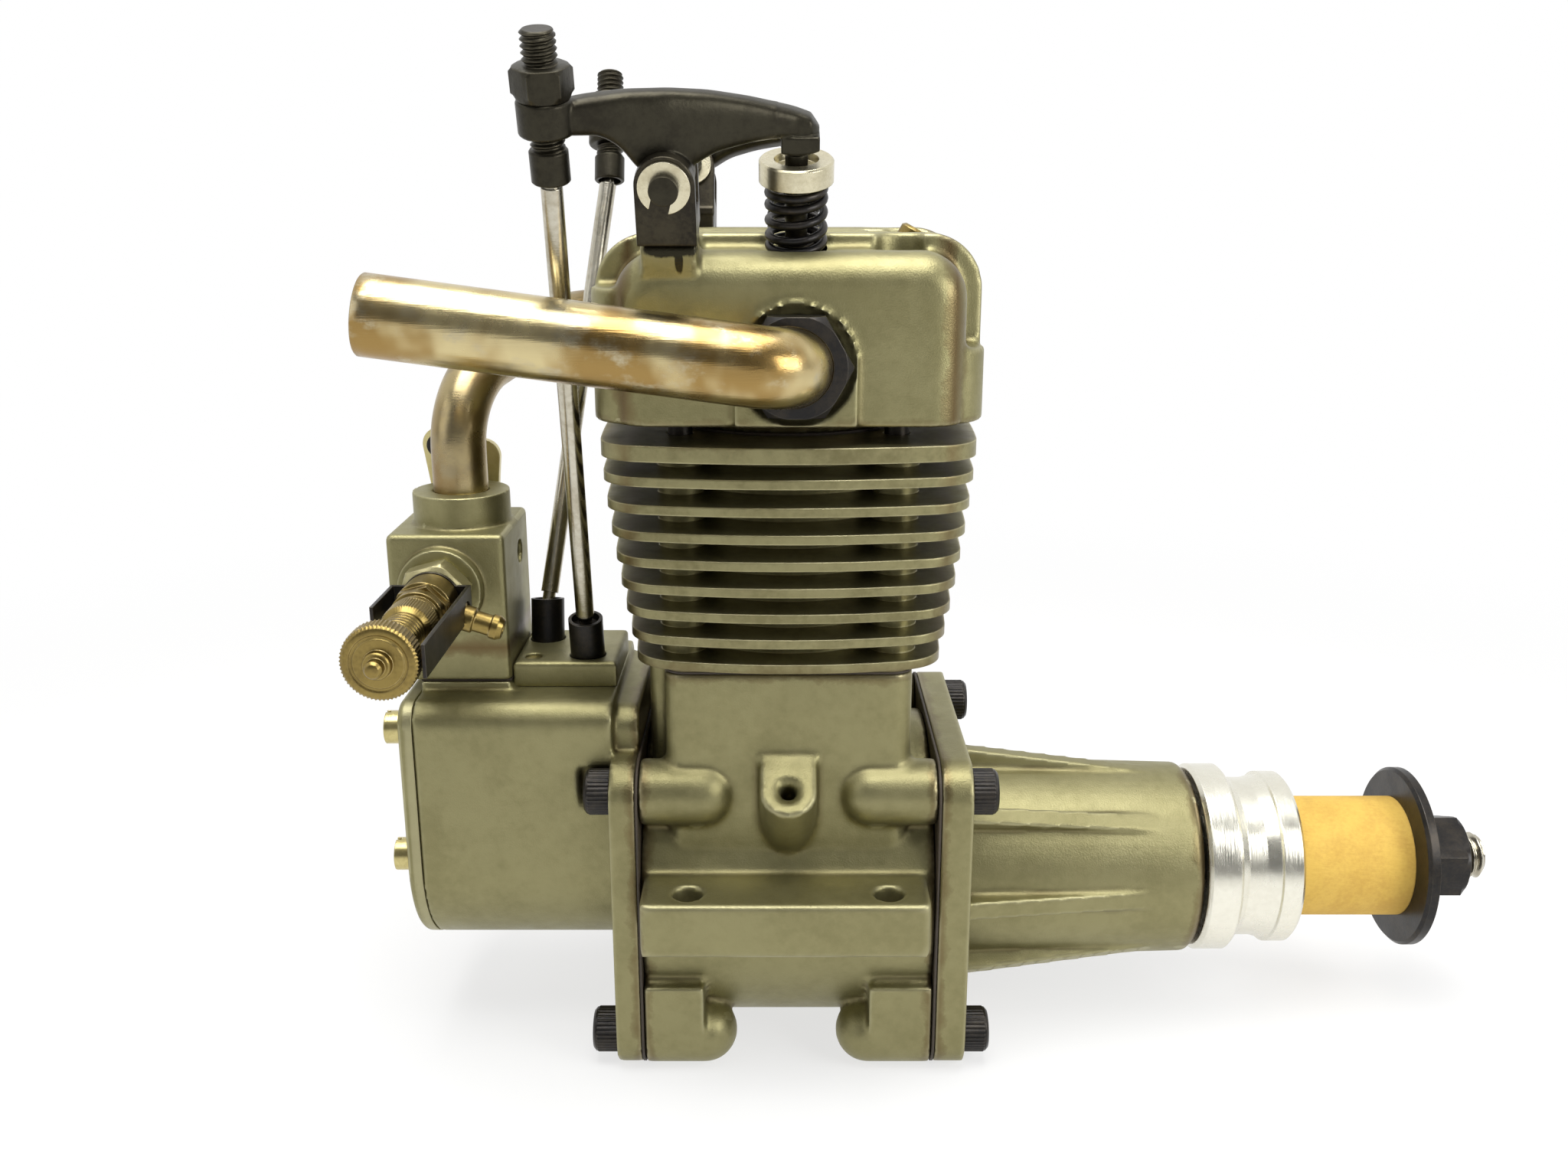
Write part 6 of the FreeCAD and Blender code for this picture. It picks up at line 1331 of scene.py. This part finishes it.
@dataclass
class NeedleAssembly(SubAssembly):
    """Brass spray body, its hexagon lock nut, the fuel nipple and the knurled needle."""

    axis_x: float = -41.2
    axis_z: float = 38.9
    clamp_start: float = 9.6
    clamp_end: float = 13.0
    body_start: float = 13.4
    body_end: float = 21.5
    knob_start: float = 33.2
    knob_end: float = 35.8
    knob_radius: float = 4.05
    pin_end: float = 38.2
    nipple_y: float = -15.5
    nipple_tilt: float = 18.0

    def build(self) -> None:
        """Makes the four pieces."""
        stand = Stand((self.axis_x, 0.0, self.axis_z), (0.0, -1.0, 0.0), 15.0)
        hexagon = Section.HEXAGON
        start, end = self.clamp_start, self.clamp_end
        nut = [Station(start, 2.02), Station(start, 3.6), Station(start + 0.35, 3.72, hexagon, 4.0),
               Station(start + 0.6, 3.72, hexagon), Station(end - 0.6, 3.72, hexagon),
               Station(end - 0.3, 3.72, hexagon, 3.95), Station(end, 3.4), Station(end, 2.02),
               Station(start, 2.02)]
        piece = Surface("hexagon_lock_nut", 24.0).add(turned(nut, stand, 72)).build()
        self.seat(piece, "engine", DULL_ALLOY, "machined_alloy", "needle_clamp")
        self._spray_body(stand)
        self._nipple()
        self._needle(stand)

    def _spray_body(self, stand: Stand) -> None:
        """Turned brass body with flats for a spanner, two grooves and a stepped mouth."""
        first, last = self.body_start, self.body_end
        hexagon = Section.HEXAGON
        body = [Station(6.6, 0.0), Station(6.6, 2.0), Station(first, 2.0), Station(first, 3.1),
                Station(first + 0.2, 3.3), Station(first + 3.9, 3.3),
                Station(first + 4.0, 2.85, hexagon, 3.3), Station(first + 5.2, 2.85, hexagon, 3.3),
                Station(first + 5.3, 2.7), Station(first + 5.6, 2.7),
                Station(first + 5.7, 3.0), Station(last - 1.2, 3.0), Station(last - 1.1, 2.6),
                Station(last - 0.8, 2.6), Station(last - 0.7, 2.75), Station(last, 2.7), Station(last, 1.2),
                Station(last - 1.5, 1.1), Station(last - 1.5, 0.0)]
        piece = Surface("grooved_spray_body", 24.0).add(turned(body, stand, 72)).build()
        self.seat(piece, "engine", BRASS, "brass", "needle_body")

    def _nipple(self) -> None:
        """Fuel nipple with a waist, a raised end and an open bore."""
        tilt = math.radians(self.nipple_tilt)
        stand = Stand((self.axis_x, self.nipple_y, self.axis_z), (math.cos(tilt), 0.0, -math.sin(tilt)))
        nipple = [Station(2.0, 0.0), Station(2.0, 1.1), Station(3.35, 1.1), Station(3.35, 1.6),
                  Station(3.6, 1.7), Station(4.2, 1.7), Station(4.3, 1.5), Station(5.5, 1.5),
                  Station(5.7, 1.22), Station(7.5, 1.22), Station(7.7, 1.45), Station(8.4, 1.45),
                  Station(9.0, 1.12), Station(9.0, 0.65), Station(8.9, 0.6), Station(4.0, 0.6),
                  Station(4.0, 0.0)]
        piece = Surface("waisted_nipple", 24.0).add(turned(nipple, stand, 48)).build()
        self.seat(piece, "engine", BRASS, "brass", "fuel_nipple")

    def _needle(self, stand: Stand) -> None:
        """Needle: a ribbed sleeve, and a coin-edged knob with a slot, a boss and a domed pin."""
        knurl = Section.KNURL
        start, end, radius = self.knob_start, self.knob_end, self.knob_radius
        stations = [Station(13.5, 0.0), Station(13.5, 1.0), Station(self.body_end + 0.2, 1.0),
                    Station(self.body_end + 0.2, 2.7), Station(self.body_end + 0.4, 2.9, knurl),
                    Station(self.body_end + 3.3, 2.9, knurl), Station(self.body_end + 3.5, 2.7),
                    Station(self.body_end + 3.9, 2.3)]
        ribs = np.arange(self.body_end + 4.4, start - 0.5, 0.8)
        for rib in ribs:
            stations += [Station(rib, 2.3), Station(rib + 0.12, 2.12), Station(rib + 0.34, 2.12),
                         Station(rib + 0.46, 2.3)]
        stations += [Station(start - 0.05, 2.3), Station(start, 2.4), Station(start, radius - 0.35),
                     Station(start + 0.25, radius, knurl), Station(end - 0.35, radius, knurl),
                     Station(end - 0.1, radius - 0.35), Station(end, radius - 0.6), Station(end, 3.05),
                     Station(end - 0.12, 2.95), Station(end - 0.12, 2.7), Station(end, 2.6),
                     Station(end, 1.5),
                     Station(end + 0.75, 1.45), Station(end + 0.9, 1.3), Station(end + 0.9, 0.95),
                     Station(self.pin_end - 0.45, 0.95), Station(self.pin_end - 0.12, 0.7),
                     Station(self.pin_end, 0.35), Station(self.pin_end, 0.0)]
        grid = turned(stations, stand, 240, 60)
        piece = Surface("coin_edged_needle", 24.0).add(grid).build()
        self.seat(piece, "needle", BRASS, "brass", "needle_valve")


@dataclass
class Pipes(SubAssembly):
    """Exhaust and intake pipes, bent cold from thin tube, with rounded lips."""

    exhaust_radius: float = 4.2
    intake_radius: float = 3.3
    exhaust_wall: float = 0.6
    intake_wall: float = 0.5
    exhaust_route: tuple[Vec, ...] = ((0.8, -12.5, 66.8), (0.8, -26.0, 66.8), (-43.0, -26.0, 72.6))
    exhaust_bends: tuple[float, ...] = (5.4,)
    intake_route: tuple[Vec, ...] = ((0.8, 12.5, 66.8), (0.8, 25.2, 66.8), (-29.5, 25.2, 68.4),
                                     (-40.0, 0.0, 62.0), (-40.0, 0.0, 44.5))
    intake_bends: tuple[float, ...] = (5.4, 9.0, 10.0)

    def build(self) -> None:
        """Makes both pipes."""
        self._pipe("smooth_exhaust_pipe", self.exhaust_route, self.exhaust_bends, self.exhaust_radius,
                   self.exhaust_wall, EXHAUST_TINT, "heat_tinted_brass", "exhaust_pipe")
        self._pipe("smooth_intake_pipe", self.intake_route, self.intake_bends, self.intake_radius,
                   self.intake_wall, INTAKE_TINT, "heat_tinted_brass", "intake_pipe")

    def _pipe(self, name: str, route: tuple[Vec, ...], bends: tuple[float, ...], radius: float, wall: float,
              finish: Finish, slot: str, node: str) -> None:
        """Makes one pipe: its outside, a lip rounded with half the wall, and its bore.

        Args:
            name: The piece's name.
            route: Corners of the centre line.
            bends: Radius at each inner corner.
            radius: Outer radius.
            wall: Thickness.
            finish: Its finish.
            slot: A material slot name; not used.
            node: The CAD node that it stands for.
        """
        path = smooth_corners(np.array(route), list(bends))
        outer = tube_along(path, np.full(len(path), radius), 64, up=(0.3, 0.1, 1.0))
        inner = tube_along(path, np.full(len(path), radius - wall), 64, up=(0.3, 0.1, 1.0))[::-1]
        ends = []
        for row, inside in ((outer[-1:], inner[:1]), (inner[-1:], outer[:1])):
            share = np.array((0.25, 0.5, 0.75))[:, None, None]
            ends.append(row * (1 - share) + inside * share)
        inset = path[-1] - path[-2]
        inset = inset / np.linalg.norm(inset) * wall * 0.3
        outer[-1] -= inset
        inner[0] -= inset
        grid = np.concatenate((outer, ends[0], inner, ends[1], outer[:1]))
        self.seat(Surface(name, 50.0).add(grid).build(), "engine", finish, slot, node)


@dataclass
class Castings(SubAssembly):
    """Cast parts from their CAD meshes, with the soft inner corners of a casting."""

    voxels: tuple[tuple[str, float, int], ...] = (
        ("crankcase", 0.43, 3), ("cylinder_head", 0.38, 5), ("cam_housing", 0.38, 3),
        ("nose_housing", 0.34, 1), ("carb_body", 0.2, 4), ("tappet_block", 0.16, 4))

    boss_x: tuple[float, float] = (-15.3, -9.5)
    boss_across: float = 9.7
    boss_half: float = 2.7
    boss_along: tuple[float, float] = (71.0, 81.75)

    def build(self) -> None:
        """Makes one skin for each casting."""
        for name, voxel, rounds in self.voxels:
            copy = merged_copy(self.nodes[name], f"cast_{name}")
            if name == "cylinder_head":
                self._add_bosses(copy)
            self.seat(fused(copy, voxel, rounds), "engine", CASTING, "cast_alloy", name)

    def _add_bosses(self, head: bpy.types.Object) -> None:
        """Adds the solid boss below each rocker bracket, so that the bracket's foot meets the casting."""
        x = np.linspace(*self.boss_x, 9)
        low, top = self.boss_along
        centre = np.stack((x, np.full(9, self.boss_across), np.full(9, (low + top) / 2)), -1)
        bar = swept_sections(centre, np.full(9, self.boss_half), np.full(9, (top - low) / 2), 8.0)
        surface = Surface("bracket_bosses")
        for side in SIDES.values():
            surface.add(leaned_grid(bar, side), side > 0)
        bosses = surface.build()
        work = bmesh.new()
        work.from_mesh(head.data)
        work.from_mesh(bosses.data)
        work.to_mesh(head.data)
        work.free()
        bpy.data.objects.remove(bosses)


# Finishes of the CAD nodes


NODE_FINISHES: dict[Finish, tuple[str, ...]] = {
    CASTING: ("crankcase", "nose_housing", "cam_housing", "cam_cover", "cylinder_head", "carb_body"),
    FIN_METAL: ("cylinder",),
    POLISHED: ("prop_driver", "piston", "connecting_rod"),
    DULL_ALLOY: ("tappet_block", "needle_clamp", "throttle_barrel"),
    BLACK_STEEL: ("case_screws", "head_bolts", "exhaust_tappet", "intake_tappet", "needle_ratchet",
                  "throttle_link", "prop_washer", "prop_nut", "pipe_nuts",
                  "exhaust_valve_spring", "intake_valve_spring"),
    ROCKER_STEEL: ("exhaust_rocker", "intake_rocker", "exhaust_adjuster", "intake_adjuster", "rocker_pins",
                   "exhaust_valve", "intake_valve", "valve_guides"),
    BRACKET_STEEL: ("rocker_brackets",),
    CLIP_STEEL: ("rocker_clips", "exhaust_spring_retainer", "intake_spring_retainer"),
    ZINC: ("small_screws",),
    BRIGHT_STEEL: ("crankshaft", "drive_shaft", "camshaft", "cam_gear", "shaft_bearings",
                   "piston_ring", "wrist_pin", "crankpin", "cylinder_liner", "exhaust_pushrod",
                   "intake_pushrod"),
    BRASS: ("needle_body", "fuel_nipple", "needle_valve", "rear_bush", "glow_plug"),
    EXHAUST_TINT: ("exhaust_pipe",),
    INTAKE_TINT: ("intake_pipe",),
    GOLD_SHEET: ("throttle_arm",),
    KRAFT: ("spacer_tube",),
    GASKET_BLACK: ("case_gaskets", "cylinder_gaskets", "carb_gasket"),
}


def dress_nodes(nodes: dict[str, bpy.types.Object], palette: Palette) -> None:
    """Gives every CAD node its finish.

    Args:
        nodes: Node name to object.
        palette: The materials.
    """
    for finish, names in NODE_FINISHES.items():
        for name in names:
            palette.dress(nodes[name], finish)
        LOG.info("%s on %d nodes", finish.name, len(names))


def main() -> None:
    """Builds the scene in order."""
    logging.basicConfig(level=logging.INFO, format="%(name)s: %(message)s")
    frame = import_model()
    Studio().build()
    palette = Palette()
    dress_nodes(frame["nodes"], palette)
    nodes = frame["nodes"]
    for kind in SIDES:
        ValveGear(nodes, palette, kind).build()
    for assembly in (Brackets, CapScrews, Nose, NeedleAssembly, Pipes, Castings):
        assembly(nodes, palette).build()


if __name__ == "__main__":
    main()
